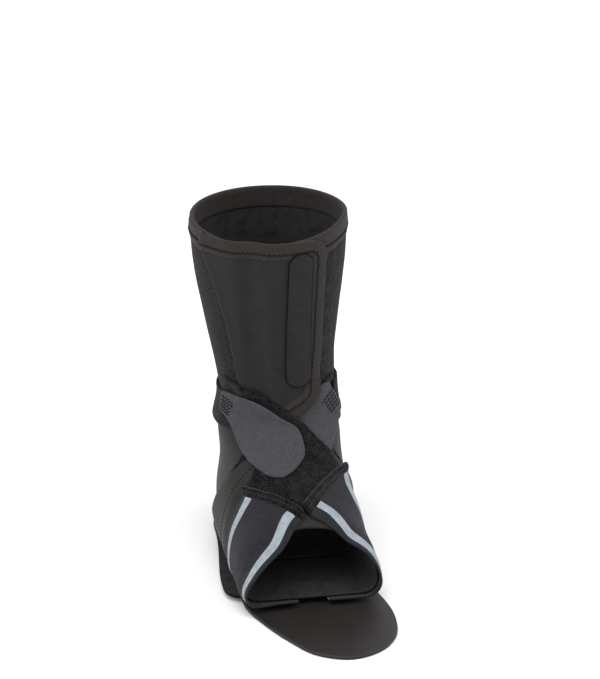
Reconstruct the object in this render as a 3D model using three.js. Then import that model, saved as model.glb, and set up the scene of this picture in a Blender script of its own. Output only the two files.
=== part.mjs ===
// Ankle brace for a right foot: a stiff footplate, a calf sleeve with a front panel,
// a heel boot, a bound foot wrap, two crossed elastic straps and an ankle strap with two tabs.
// Millimetres. +Z up, toes towards -Y, inner (medial) side towards +X.
// The origin is on the underside of the footplate, below the ankle.
import * as THREE from "three";

// Overall sizes.
const braceHeight = 230;
const calfWidth = 97;
const calfDepth = 100;
const ankleWidth = 64;
const ankleDepth = 76;
const calfSetBack = 6;
const footWidth = 88;
const instepHeight = 76;
const plateLength = 251;
const plateWidth = 92;
const heelReach = 62; // from the origin back to the end of the plate

// Thicknesses of the layers.
const plateThickness = 2.4;
const coverThickness = 1.8;
const bootThickness = 2.2;
const wrapThickness = 2;
const sleeveThickness = 2.2;
const panelThickness = 1.8;
const strapThickness = 1.5;
const elasticThickness = 1.6;
const tabThickness = 1.3;
const tapeThickness = 0.7;
const layerGap = 0.5;

// Sizes of single pieces.
const coverWidth = 100;
const coverLength = 154;
const coverCorner = 14;
const sleeveBottom = 86;
const sleeveTapeWidth = 13;
const panelCorner = 14;
const panelTapeWidth = 10;
const patchWidth = 14.5;
const patchLength = 93.5;
const bootTop = 100;
const bootFrontReach = 50; // from the origin forward to the boot's front edge
const bootOpening = 0.1; // share of the way round, from the top of the foot, that the boot leaves open
const wrapTapeWidth = 7;
const wrapFlare = 3;
const toeOpening = 98; // from the origin forward to the wrap's front edge on top
const strapWidth = 54; // across the medial strap's folded seam
const ankleStrapWidth = 25;
const ankleStrapHeight = 103;
const tabWidth = 38;
const drawnStrapWidth = 54; // the widths for which the edge tables below are drawn
const drawnTabWidth = 38;

// The bend between leg and foot: rings of the soft pieces turn about this line.
const bendForward = 48;
const bendHeight = 95;
const bendToAxis = 52;
const footAxisDrop = 0.35;

// Heights of the sole: the foot stands on the plate and on the layers laid over it.
const slack = 1.2;
const bedRear = plateThickness + coverThickness + wrapThickness + bootThickness + 4 * layerGap + slack;
const bedFront = plateThickness + elasticThickness + wrapThickness + 3 * layerGap + slack;
const coverFront = coverLength - heelReach;
const bedStep = 12;
const soleRound = 9;
const calfBlend = 22;
const heelBlend = 14;

// Sections of the leg. height: share of braceHeight. spread: 0 at the ankle, 1 at the calf.
// side: how far the section's middle leans outwards, as a share of calfWidth.
const legTable = [
  { height: 0, spread: -0.1, side: -0.021 },
  { height: 0.13, spread: 0, side: -0.021 },
  { height: 0.261, spread: 0.15, side: -0.026 },
  { height: 0.357, spread: 0.32, side: -0.031 },
  { height: 0.435, spread: 0.13, side: -0.036 },
  { height: 0.504, spread: 0.2, side: -0.041 },
  { height: 0.609, spread: 0.34, side: -0.064 },
  { height: 0.739, spread: 0.62, side: -0.079 },
  { height: 0.87, spread: 0.9, side: -0.087 },
  { height: 1, spread: 1, side: -0.088 },
  { height: 1.13, spread: 1.05, side: -0.093 },
];

// Sections of the foot. along: share of plateLength from the heel end. half: share of footWidth.
// top: share of instepHeight above the sole. side: share of footWidth.
const footTable = [
  { along: 0.128, half: 0.375, top: 0.714, side: -0.011 },
  { along: 0.247, half: 0.415, top: 0.896, side: -0.023 },
  { along: 0.367, half: 0.4375, top: 1, side: -0.045 },
  { along: 0.466, half: 0.455, top: 0.844, side: -0.057 },
  { along: 0.566, half: 0.47, top: 0.675, side: -0.051 },
  { along: 0.665, half: 0.489, top: 0.519, side: -0.034 },
  { along: 0.765, half: 0.511, top: 0.39, side: -0.023 },
  { along: 0.884, half: 0.477, top: 0.273, side: -0.011 },
  { along: 0.984, half: 0.386, top: 0.195, side: 0 },
];

// Outline of the footplate, from the heel along the outer side to the toes and back.
// along: share of plateLength from the heel end. side: share of plateWidth, inner side positive.
const plateOutline = [
  { along: 0, side: 0 },
  { along: 0.03, side: -0.24 },
  { along: 0.12, side: -0.36 },
  { along: 0.28, side: -0.38 },
  { along: 0.42, side: -0.42 },
  { along: 0.55, side: -0.475 },
  { along: 0.65, side: -0.49 },
  { along: 0.75, side: -0.42 },
  { along: 0.86, side: -0.305 },
  { along: 0.96, side: -0.15 },
  { along: 1, side: 0.07 },
  { along: 0.97, side: 0.29 },
  { along: 0.89, side: 0.45 },
  { along: 0.76, side: 0.51 },
  { along: 0.62, side: 0.47 },
  { along: 0.47, side: 0.39 },
  { along: 0.3, side: 0.335 },
  { along: 0.12, side: 0.33 },
  { along: 0.03, side: 0.22 },
];

// Side edges of the front panel. height: share of braceHeight. left and right: degrees round the leg
// from the front, the inner side positive.
const panelTable = [
  { height: 0.474, left: -42, right: 26 },
  { height: 0.504, left: -44, right: 27 },
  { height: 0.565, left: -45.5, right: 30 },
  { height: 0.652, left: -48.5, right: 34 },
  { height: 0.713, left: -50, right: 34.5 },
  { height: 0.8, left: -55.5, right: 35 },
  { height: 0.87, left: -60.5, right: 35.5 },
  { height: 0.93, left: -69, right: 36 },
  { height: 1, left: -75, right: 37 },
];

// Edges of the straps and tabs, from their seam or narrow end on. x: share of ankleWidth, y: share of
// plateLength and z: share of braceHeight, from the origin. Each point is then set on the form.
const medialElasticEdges = {
  rear: [
    { x: 0.344, y: -0.169, z: 0.302 },
    { x: 0.422, y: -0.199, z: 0.265 },
    { x: 0.461, y: -0.223, z: 0.226 },
    { x: 0.516, y: -0.239, z: 0.183 },
    { x: 0.578, y: -0.251, z: 0.13 },
    { x: 0.586, y: -0.259, z: 0.078 },
    { x: 0.516, y: -0.267, z: 0.043 },
    { x: 0.312, y: -0.279, z: 0.035 },
    { x: 0.125, y: -0.287, z: 0.035 },
  ],
  front: [
    { x: -0.097, y: -0.348, z: 0.258 },
    { x: -0.016, y: -0.367, z: 0.246 },
    { x: 0.114, y: -0.382, z: 0.228 },
    { x: 0.219, y: -0.4, z: 0.206 },
    { x: 0.32, y: -0.421, z: 0.187 },
    { x: 0.43, y: -0.426, z: 0.166 },
    { x: 0.531, y: -0.43, z: 0.139 },
    { x: 0.594, y: -0.438, z: 0.109 },
    { x: 0.594, y: -0.446, z: 0.074 },
    { x: 0.531, y: -0.446, z: 0.043 },
    { x: 0.312, y: -0.446, z: 0.035 },
    { x: 0.125, y: -0.446, z: 0.035 },
  ],
};
const lateralElasticEdges = {
  rear: [
    { x: -0.509, y: -0.208, z: 0.272 },
    { x: -0.547, y: -0.223, z: 0.253 },
    { x: -0.592, y: -0.231, z: 0.231 },
    { x: -0.633, y: -0.239, z: 0.206 },
    { x: -0.678, y: -0.243, z: 0.17 },
    { x: -0.703, y: -0.247, z: 0.122 },
    { x: -0.688, y: -0.255, z: 0.074 },
    { x: -0.609, y: -0.263, z: 0.043 },
    { x: -0.375, y: -0.279, z: 0.035 },
    { x: -0.188, y: -0.287, z: 0.035 },
  ],
  front: [
    { x: -0.08, y: -0.354, z: 0.254 },
    { x: -0.081, y: -0.371, z: 0.242 },
    { x: -0.153, y: -0.384, z: 0.229 },
    { x: -0.212, y: -0.398, z: 0.216 },
    { x: -0.305, y: -0.425, z: 0.196 },
    { x: -0.372, y: -0.441, z: 0.183 },
    { x: -0.453, y: -0.452, z: 0.165 },
    { x: -0.531, y: -0.462, z: 0.15 },
    { x: -0.609, y: -0.472, z: 0.133 },
    { x: -0.656, y: -0.478, z: 0.113 },
    { x: -0.68, y: -0.474, z: 0.078 },
    { x: -0.609, y: -0.462, z: 0.043 },
    { x: -0.375, y: -0.45, z: 0.035 },
    { x: -0.188, y: -0.446, z: 0.035 },
  ],
};
const medialLoopEdges = {
  rear: [
    { x: 0.395, y: -0.187, z: 0.28 },
    { x: 0.344, y: -0.169, z: 0.302 },
    { x: 0.284, y: -0.169, z: 0.324 },
    { x: 0.242, y: -0.161, z: 0.348 },
    { x: 0.161, y: -0.153, z: 0.38 },
    { x: 0.083, y: -0.141, z: 0.417 },
    { x: 0.027, y: -0.135, z: 0.445 },
    { x: -0.066, y: -0.136, z: 0.477 },
    { x: -0.147, y: -0.135, z: 0.497 },
    { x: -0.233, y: -0.129, z: 0.513 },
    { x: -0.303, y: -0.122, z: 0.526 },
    { x: -0.38, y: -0.111, z: 0.539 },
    { x: -0.455, y: -0.095, z: 0.548 },
    { x: -0.531, y: -0.068, z: 0.553 },
    { x: -0.578, y: -0.036, z: 0.557 },
  ],
  front: [
    { x: -0.047, y: -0.355, z: 0.254 },
    { x: -0.097, y: -0.347, z: 0.259 },
    { x: -0.216, y: -0.304, z: 0.277 },
    { x: -0.302, y: -0.265, z: 0.291 },
    { x: -0.352, y: -0.231, z: 0.301 },
    { x: -0.381, y: -0.199, z: 0.312 },
    { x: -0.398, y: -0.167, z: 0.339 },
    { x: -0.422, y: -0.135, z: 0.365 },
    { x: -0.445, y: -0.108, z: 0.396 },
    { x: -0.484, y: -0.08, z: 0.426 },
    { x: -0.523, y: -0.056, z: 0.448 },
    { x: -0.578, y: -0.028, z: 0.461 },
  ],
};
const lateralLoopEdges = {
  rear: [
    { x: -0.531, y: -0.219, z: 0.261 },
    { x: -0.509, y: -0.208, z: 0.272 },
    { x: -0.467, y: -0.207, z: 0.286 },
    { x: -0.431, y: -0.198, z: 0.301 },
    { x: -0.391, y: -0.188, z: 0.318 },
    { x: -0.359, y: -0.171, z: 0.343 },
    { x: -0.297, y: -0.161, z: 0.37 },
    { x: -0.219, y: -0.153, z: 0.396 },
    { x: -0.133, y: -0.143, z: 0.424 },
    { x: -0.052, y: -0.136, z: 0.458 },
    { x: 0.061, y: -0.133, z: 0.491 },
    { x: 0.175, y: -0.122, z: 0.517 },
    { x: 0.303, y: -0.096, z: 0.544 },
    { x: 0.405, y: -0.061, z: 0.551 },
  ],
  front: [
    { x: -0.102, y: -0.355, z: 0.255 },
    { x: -0.055, y: -0.345, z: 0.26 },
    { x: -0.003, y: -0.328, z: 0.268 },
    { x: 0.089, y: -0.298, z: 0.279 },
    { x: 0.189, y: -0.257, z: 0.289 },
    { x: 0.252, y: -0.216, z: 0.297 },
    { x: 0.3, y: -0.175, z: 0.315 },
    { x: 0.342, y: -0.139, z: 0.341 },
    { x: 0.369, y: -0.113, z: 0.367 },
    { x: 0.389, y: -0.089, z: 0.39 },
    { x: 0.405, y: -0.067, z: 0.413 },
    { x: 0.412, y: -0.056, z: 0.429 },
    { x: 0.438, y: -0.039, z: 0.437 },
  ],
};
const medialTabEdges = {
  upper: [
    { x: 0.352, y: -0.08, z: 0.539 },
    { x: 0.241, y: -0.112, z: 0.539 },
    { x: 0.12, y: -0.128, z: 0.526 },
    { x: 0.011, y: -0.136, z: 0.509 },
    { x: -0.069, y: -0.136, z: 0.461 },
    { x: -0.108, y: -0.15, z: 0.41 },
    { x: -0.114, y: -0.177, z: 0.37 },
    { x: -0.07, y: -0.202, z: 0.344 },
  ],
  lower: [
    { x: 0.411, y: -0.056, z: 0.461 },
    { x: 0.395, y: -0.064, z: 0.443 },
    { x: 0.378, y: -0.073, z: 0.427 },
    { x: 0.367, y: -0.098, z: 0.39 },
    { x: 0.333, y: -0.126, z: 0.367 },
    { x: 0.28, y: -0.157, z: 0.344 },
    { x: 0.194, y: -0.188, z: 0.331 },
    { x: 0.091, y: -0.21, z: 0.328 },
    { x: 0, y: -0.213, z: 0.333 },
  ],
};
const lateralTabEdges = {
  upper: [
    { x: -0.594, y: -0.021, z: 0.511 },
    { x: -0.531, y: -0.06, z: 0.526 },
    { x: -0.453, y: -0.094, z: 0.532 },
    { x: -0.378, y: -0.11, z: 0.52 },
    { x: -0.3, y: -0.122, z: 0.507 },
    { x: -0.222, y: -0.129, z: 0.491 },
    { x: -0.145, y: -0.133, z: 0.47 },
    { x: -0.07, y: -0.138, z: 0.444 },
    { x: -0.027, y: -0.145, z: 0.422 },
    { x: 0.008, y: -0.158, z: 0.396 },
    { x: 0.023, y: -0.173, z: 0.373 },
    { x: 0.023, y: -0.19, z: 0.353 },
    { x: 0.011, y: -0.206, z: 0.337 },
    { x: -0.027, y: -0.224, z: 0.326 },
    { x: -0.077, y: -0.241, z: 0.317 },
  ],
  lower: [
    { x: -0.594, y: -0.012, z: 0.452 },
    { x: -0.539, y: -0.044, z: 0.443 },
    { x: -0.497, y: -0.067, z: 0.433 },
    { x: -0.472, y: -0.082, z: 0.415 },
    { x: -0.464, y: -0.094, z: 0.4 },
    { x: -0.459, y: -0.106, z: 0.385 },
    { x: -0.447, y: -0.12, z: 0.372 },
    { x: -0.428, y: -0.139, z: 0.356 },
    { x: -0.405, y: -0.161, z: 0.34 },
    { x: -0.386, y: -0.18, z: 0.326 },
    { x: -0.366, y: -0.201, z: 0.314 },
    { x: -0.345, y: -0.218, z: 0.309 },
    { x: -0.297, y: -0.244, z: 0.303 },
    { x: -0.245, y: -0.255, z: 0.302 },
    { x: -0.189, y: -0.259, z: 0.304 },
    { x: -0.133, y: -0.253, z: 0.31 },
  ],
};

// Height of the ankle strap's middle. angle: degrees round the leg from the front. height: share
// of ankleStrapHeight.
const ankleStrapTable = [
  { angle: 40, height: 1.078 },
  { angle: 70, height: 1.053 },
  { angle: 90, height: 1.039 },
  { angle: 135, height: 1.01 },
  { angle: 180, height: 1 },
  { angle: 225, height: 0.99 },
  { angle: 270, height: 0.985 },
  { angle: 320, height: 1.01 },
];

// Lower edge of the front panel, from its outer to its inner side. height: share of braceHeight.
const panelBottomTable = [
  { across: 0, height: 0.487 },
  { across: 0.3, height: 0.461 },
  { across: 0.5, height: 0.439 },
  { across: 0.62, height: 0.452 },
  { across: 0.75, height: 0.474 },
  { across: 0.88, height: 0.493 },
  { across: 1, height: 0.504 },
];

// Top edge of the sleeve: how far it lies above or below braceHeight, as a share of it.
const sleeveTopTable = [
  { angle: -15, rise: -0.022 },
  { angle: 0, rise: -0.017 },
  { angle: 40, rise: -0.004 },
  { angle: 75, rise: 0.009 },
  { angle: 110, rise: 0.005 },
  { angle: 180, rise: -0.004 },
  { angle: 250, rise: -0.004 },
  { angle: 285, rise: -0.011 },
  { angle: 325, rise: -0.022 },
];

// Rear edge of the foot wrap, a little behind the bend at its sides. angle: degrees round the ring
// from the top of the foot. place: degrees round the bend.
const wrapEdgeTable = [
  { angle: 0, place: 49 },
  { angle: 30, place: 57 },
  { angle: 50, place: 63 },
  { angle: 75, place: 62 },
  { angle: 100, place: 58 },
  { angle: 130, place: 58 },
  { angle: 180, place: 60 },
];

const degrees = Math.PI / 180;

function clamp(value, low, high) {
  return Math.min(high, Math.max(low, value));
}

function mix(a, b, share) {
  return a + (b - a) * share;
}

function ease(value) {
  const t = clamp(value, 0, 1);
  return t * t * (3 - 2 * t);
}

// A smooth reader of one column of a table whose rows rise by the key column.
function column(table, key, keySize, name, size) {
  const at = table.map((row) => row[key] * keySize);
  const values = table.map((row) => row[name] * size);
  const last = at.length - 1;
  const slopes = at.map((_, i) => {
    const before = Math.max(0, i - 1);
    const after = Math.min(last, i + 1);
    return (values[after] - values[before]) / (at[after] - at[before]);
  });
  return (place) => {
    const t = clamp(place, at[0], at[last]);
    let i = 0;
    while (i < last - 1 && t > at[i + 1]) i++;
    const step = at[i + 1] - at[i];
    const u = (t - at[i]) / step;
    const u2 = u * u;
    const u3 = u2 * u;
    return (
      (2 * u3 - 3 * u2 + 1) * values[i] +
      (u3 - 2 * u2 + u) * step * slopes[i] +
      (3 * u2 - 2 * u3) * values[i + 1] +
      (u3 - u2) * step * slopes[i + 1]
    );
  };
}

const legSpread = column(legTable, "height", braceHeight, "spread", 1);
const legSide = column(legTable, "height", braceHeight, "side", calfWidth);
const footHalf = column(footTable, "along", plateLength, "half", footWidth);
const footTop = column(footTable, "along", plateLength, "top", instepHeight);
const footSide = column(footTable, "along", plateLength, "side", footWidth);

// Smooth join of two distance fields, rounded over the given width.
function softMin(a, b, width) {
  const h = clamp(0.5 + (0.5 * (b - a)) / width, 0, 1);
  return b * (1 - h) + a * h - width * h * (1 - h);
}

function ellipsoid(x, y, z, rx, ry, rz) {
  const k0 = Math.hypot(x / rx, y / ry, z / rz);
  const k1 = Math.hypot(x / rx ** 2, y / ry ** 2, z / rz ** 2);
  return (k0 * (k0 - 1)) / Math.max(k1, 1e-6);
}

function legBack(z) {
  const low = 0.26 * braceHeight;
  return 4 + calfSetBack * clamp((z - low) / (braceHeight - low), 0, 1.3);
}

function soleHeight(y) {
  return mix(bedFront, bedRear, ease((y + coverFront + 0.8 * bedStep) / bedStep));
}

// Distance to the inner form of the brace, negative inside: the space that leg and foot fill.
function form(x, y, z) {
  const spread = legSpread(z);
  const legX = mix(ankleWidth, calfWidth, spread) / 2;
  const legY = mix(ankleDepth, calfDepth, spread) / 2;
  const leg = ellipsoid(x - legSide(z), y - legBack(z), 0, legX, legY, 1e3);
  const sole = soleHeight(y);
  const heel = ellipsoid(x, y - 20, z - (bedRear + 27), 0.484 * ankleWidth, 36, 40);
  const along = heelReach - y;
  const half = footHalf(along);
  const top = footTop(along);
  const middle = sole + 0.2 * top;
  const tall = z > middle ? 0.8 * top : 1.6 * top;
  const behind = Math.max(y - 30, 0);
  const foot = ellipsoid(x - footSide(along), behind, z - middle, half, half, tall);
  const body = softMin(softMin(leg, foot, calfBlend), heel, heelBlend);
  return -softMin(-body, z - sole, soleRound);
}

function formNormal(p) {
  const e = 0.05;
  return new THREE.Vector3(
    form(p.x + e, p.y, p.z) - form(p.x - e, p.y, p.z),
    form(p.x, p.y + e, p.z) - form(p.x, p.y - e, p.z),
    form(p.x, p.y, p.z + e) - form(p.x, p.y, p.z - e),
  ).divideScalar(2 * e);
}

// Moves a point onto the form and returns it with the outward normal there.
function settle(point) {
  const p = point.clone();
  for (let i = 0; i < 8; i++) {
    const slope = formNormal(p);
    p.addScaledVector(slope, -form(p.x, p.y, p.z) / Math.max(slope.lengthSq(), 1e-6));
  }
  return { p, n: formNormal(p).normalize() };
}

// A ring of the brace. Below 0 the place is millimetres up the leg, from 0 to 90 it is degrees
// round the bend, and past 90 it is millimetres forward along the foot.
function ringFrame(place) {
  const turn = clamp(place, 0, 90) * degrees;
  const up = Math.max(-place, 0);
  const forward = Math.max(place - 90, 0);
  const front = new THREE.Vector3(0, -Math.cos(turn), Math.sin(turn));
  const centre = new THREE.Vector3(0, -bendForward, bendHeight).addScaledVector(front, -bendToAxis);
  centre.z += up - footAxisDrop * forward;
  centre.y -= forward;
  centre.x = place < 0 ? legSide(centre.z) : legSide(bendHeight);
  return { centre, front };
}

const sideways = new THREE.Vector3(1, 0, 0);

// The point of the form on a ring, at an angle from the front or top, the inner side positive.
function ringPoint(place, angle) {
  const { centre, front } = ringFrame(place);
  const ray = front
    .clone()
    .multiplyScalar(Math.cos(angle * degrees))
    .addScaledVector(sideways, Math.sin(angle * degrees));
  let near = 0;
  let far = 0;
  const at = new THREE.Vector3();
  do {
    near = far;
    far += 3;
    at.copy(centre).addScaledVector(ray, far);
  } while (form(at.x, at.y, at.z) < 0 && far < 200);
  for (let i = 0; i < 24; i++) {
    const middle = (near + far) / 2;
    at.copy(centre).addScaledVector(ray, middle);
    if (form(at.x, at.y, at.z) < 0) near = middle;
    else far = middle;
  }
  at.copy(centre).addScaledVector(ray, near);
  return settle(at);
}

function legPoint(height, angle) {
  return ringPoint(bendHeight - height, angle);
}

// Angles round a ring from the front to the back, closer together where the sole turns up.
function ringAngle(share) {
  const closest = 0.65;
  const pull = 18;
  const turn = 2 * Math.PI;
  return 180 * share - pull * (Math.sin(turn * (share - closest)) + Math.sin(turn * closest));
}

function range(count, make) {
  return Array.from({ length: count + 1 }, (_, i) => make(i / count));
}

// Walks over the form from a point, in the direction given, as a thread pulled tight would lie.
function walk(start, heading, distance, steps) {
  let here = start;
  let way = heading.clone();
  const path = [start];
  for (let i = 0; i < steps; i++) {
    const next = settle(here.p.clone().addScaledVector(way, distance / steps));
    way = next.p.clone().sub(here.p);
    way.addScaledVector(next.n, -way.dot(next.n)).normalize();
    here = next;
    path.push(next);
  }
  return path;
}

// A band along a line on the form: rows across it, one for each share of its length.
// reach gives how far it goes to the left and right of the line, in that many cells each.
function band(line, shares, cells, reach) {
  const curve = new THREE.CatmullRomCurve3(
    line.map((p) => settle(p).p),
    false,
    "centripetal",
  );
  const points = shares.map((share) => settle(curve.getPointAt(clamp(share, 0, 1))));
  return points.map((point, i) => {
    const ahead = points[Math.min(points.length - 1, i + 1)].p;
    const behind = points[Math.max(0, i - 1)].p;
    const along = ahead.clone().sub(behind).normalize();
    const right = along.cross(point.n).normalize();
    const [toLeft, toRight] = reach(shares[i]);
    const side = (way, distance) => (distance > 0 ? walk(point, way, distance, cells).slice(1) : []);
    return [...side(right.clone().negate(), toLeft).reverse(), point, ...side(right, toRight)];
  });
}

// Turns a table of places into points.
function places(table) {
  return table.map((row) => new THREE.Vector3(row.x * ankleWidth, row.y * plateLength, row.z * braceHeight));
}

// A band between two edges: rows across it, one for each share of its length. widen is 1 for the
// width that the tables are drawn for.
function between(firstEdge, secondEdge, shares, cells, widen) {
  const [first, second] = [firstEdge, secondEdge].map(
    (table) => new THREE.CatmullRomCurve3(
      places(table).map((p) => settle(p).p),
      false,
      "centripetal",
    ),
  );
  return shares.map((share) => {
    const a = first.getPointAt(clamp(share, 0, 1));
    const b = second.getPointAt(clamp(share, 0, 1));
    return range(cells, (t) => settle(a.clone().lerp(b, 0.5 + widen * (t - 0.5))));
  });
}

// Triangles of the pieces laid so far, kept by coarse cells so that a short ray finds them fast.
const cellSize = 10;
const laidCells = new Map();

function cellKey(x, y, z) {
  return `${Math.floor(x / cellSize)},${Math.floor(y / cellSize)},${Math.floor(z / cellSize)}`;
}

function remember(geometry) {
  const position = geometry.getAttribute("position");
  const index = geometry.getIndex();
  for (let i = 0; i < index.count; i += 3) {
    const corner = (k) => new THREE.Vector3().fromBufferAttribute(position, index.getX(k));
    const corners = [corner(i), corner(i + 1), corner(i + 2)];
    const box = new THREE.Box3().setFromPoints(corners).expandByScalar(1.5);
    const seen = new Set();
    for (let x = box.min.x; x < box.max.x + cellSize; x += cellSize)
      for (let y = box.min.y; y < box.max.y + cellSize; y += cellSize)
        for (let z = box.min.z; z < box.max.z + cellSize; z += cellSize)
          seen.add(cellKey(Math.min(x, box.max.x), Math.min(y, box.max.y), Math.min(z, box.max.z)));
    for (const key of seen) {
      if (!laidCells.has(key)) laidCells.set(key, []);
      laidCells.get(key).push(corners);
    }
  }
}

const rayStart = 26;

// How high the pieces laid so far reach above a point along the normal, or null if none does.
function laidHeight(p, n, below = 2) {
  const origin = p.clone().addScaledVector(n, rayStart);
  const ray = new THREE.Ray(origin, n.clone().negate());
  const at = new THREE.Vector3();
  let best = null;
  let lastKey = "";
  for (let depth = 0; depth <= rayStart + below; depth += 1.5) {
    ray.at(depth, at);
    const key = cellKey(at.x, at.y, at.z);
    if (key === lastKey) continue;
    lastKey = key;
    for (const [a, b, c] of laidCells.get(key) ?? []) {
      const hit = ray.intersectTriangle(a, b, c, false, at);
      if (!hit) continue;
      const height = rayStart - hit.distanceTo(origin);
      if (height > -below && (best === null || height > best)) best = height;
    }
  }
  return best;
}

// The grid's points moved out along their normals to the heights given, and further by add.
function raise(grid, heights, add) {
  return grid.map((row, i) => row.map(({ p, n }, j) => p.clone().addScaledVector(n, heights[i][j] + add)));
}

// Heights of a sheet above the form, laid over everything already there. A tube's last row meets its first.
function drape(grid, lift, tube = false) {
  const rows = grid.length;
  const cols = grid[0].length;
  const raw = grid.map((row) => row.map(({ p, n }) => Math.max(0, laidHeight(p, n) ?? 0)));
  const nearby = (table, i, j, pick) => {
    const found = [];
    for (let a = i - 1; a <= i + 1; a++) {
      const row = tube ? (a + rows) % rows : clamp(a, 0, rows - 1);
      for (let b = Math.max(0, j - 1); b <= Math.min(cols - 1, j + 1); b++) found.push(table[row][b]);
    }
    return pick(found);
  };
  const highest = (all) => Math.max(...all);
  const mean = (all) => all.reduce((sum, value) => sum + value, 0) / all.length;
  let heights = raw.map((row, i) => row.map((_, j) => nearby(raw, i, j, highest)));
  for (let pass = 0; pass < 2; pass++) {
    const current = heights;
    heights = current.map((row, i) => row.map((_, j) => Math.max(raw[i][j], nearby(current, i, j, mean))));
  }
  heights = heights.map((row, i) => row.map((h, j) => h + layerGap + lift(i, j)));
  // The flat facets cut corners, so each cell is checked and raised where it comes too near.
  const strips = tube ? rows : rows - 1;
  for (let pass = 0; pass < 9; pass++) {
    const inner = raise(grid, heights, 0);
    const need = heights.map((row) => row.map(() => 0));
    for (let i = 0; i < strips; i++)
      for (let j = 0; j < cols - 1; j++)
        for (const [u, v] of cellSamples) {
          const next = (i + 1) % rows;
          const corners = [
            [i, j, 1 - Math.max(u, v)],
            [next, j, Math.max(0, u - v)],
            [i, j + 1, Math.max(0, v - u)],
            [next, j + 1, Math.min(u, v)],
          ];
          const p = new THREE.Vector3();
          const n = new THREE.Vector3();
          for (const [a, b, weight] of corners) {
            p.addScaledVector(inner[a][b], weight);
            n.addScaledVector(grid[a][b].n, weight);
          }
          const height = laidHeight(p, n.normalize(), 1);
          if (height === null || height < -layerGap) continue;
          for (const [a, b, weight] of corners)
            if (weight > 0.25) need[a][b] = Math.max(need[a][b], height + layerGap);
        }
    heights = heights.map((row, i) => row.map((h, j) => h + need[i][j]));
  }
  return heights;
}

// Places in a cell where its two facets are checked, as shares of its sides.
const cellSamples = range(6, (u) => range(6, (v) => [u, v])).flat();

// One closed body between two grids of points of the same size. A tube joins its last row to its first.
function closedSheet(inner, outer, tube) {
  const rows = inner.length;
  const cols = inner[0].length;
  const strips = tube ? rows : rows - 1;
  const positions = [...inner.flat(), ...outer.flat()].flatMap((p) => [p.x, p.y, p.z]);
  const under = (i, j) => (i % rows) * cols + j;
  const over = (i, j) => rows * cols + under(i, j);
  const faces = [];
  const quad = (a, b, c, d) => faces.push(a, b, c, a, c, d);
  for (let i = 0; i < strips; i++) {
    for (let j = 0; j < cols - 1; j++) {
      quad(over(i, j), over(i + 1, j), over(i + 1, j + 1), over(i, j + 1));
      quad(under(i, j), under(i, j + 1), under(i + 1, j + 1), under(i + 1, j));
    }
    quad(over(i, 0), under(i, 0), under(i + 1, 0), over(i + 1, 0));
    quad(over(i + 1, cols - 1), under(i + 1, cols - 1), under(i, cols - 1), over(i, cols - 1));
  }
  for (let j = 0; j < cols - 1 && !tube; j++) {
    quad(over(0, j + 1), under(0, j + 1), under(0, j), over(0, j));
    quad(over(rows - 1, j), under(rows - 1, j), under(rows - 1, j + 1), over(rows - 1, j + 1));
  }
  const geometry = new THREE.BufferGeometry();
  geometry.setAttribute("position", new THREE.Float32BufferAttribute(positions, 3));
  geometry.setIndex(signedVolume(positions, faces) < 0 ? faces.reverse() : faces);
  geometry.computeVertexNormals();
  return geometry;
}

function signedVolume(positions, faces) {
  const corner = (k) => new THREE.Vector3().fromArray(positions, 3 * faces[k]);
  let sum = 0;
  for (let i = 0; i < faces.length; i += 3) sum += corner(i).dot(corner(i + 1).cross(corner(i + 2)));
  return sum;
}

const brace = new THREE.Group();

function addPiece(name, geometry, finish) {
  const mesh = new THREE.Mesh(geometry, new THREE.MeshStandardMaterial(finish));
  mesh.name = name;
  brace.add(mesh);
}

// Lays a sheet over what is there, adds it as a named piece and remembers it for the next ones.
function lay(name, grid, thickness, finish, options = {}) {
  const lift = options.lift ?? (() => 0);
  const heights = drape(grid, lift, options.tube);
  const geometry = closedSheet(raise(grid, heights, 0), raise(grid, heights, thickness), options.tube);
  remember(geometry);
  addPiece(name, geometry, finish);
}

// Colours and surface of each material.
const plastic = { color: 0x2a2727, roughness: 0.42, metalness: 0 };
const looped = { color: 0x1d1b1c, roughness: 0.98, metalness: 0 };
const neoprene = { color: 0x1f201e, roughness: 0.8, metalness: 0 };
const smoothCloth = { color: 0x2c2c2c, roughness: 0.7, metalness: 0 };
const tape = { color: 0x332e2c, roughness: 0.85, metalness: 0 };
const knit = { color: 0x2b2b31, roughness: 0.85, metalness: 0 };
const hookCloth = { color: 0x46464b, roughness: 0.9, metalness: 0 };

function flatPiece(name, shape, bottom, thickness, finish, segments) {
  const geometry = new THREE.ExtrudeGeometry(shape, {
    depth: thickness,
    bevelEnabled: false,
    curveSegments: segments,
  });
  geometry.translate(0, 0, bottom);
  addPiece(name, geometry, finish);
}

function footplate() {
  const points = plateOutline.map(
    (row) => new THREE.Vector3(row.side * plateWidth, heelReach - row.along * plateLength, 0),
  );
  const outline = new THREE.CatmullRomCurve3(points, true, "centripetal").getSpacedPoints(70);
  outline.pop();
  const shape = new THREE.Shape(outline.map((p) => new THREE.Vector2(p.x, p.y)));
  flatPiece("footplate", shape, 0, plateThickness, plastic, 1);
}

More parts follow.
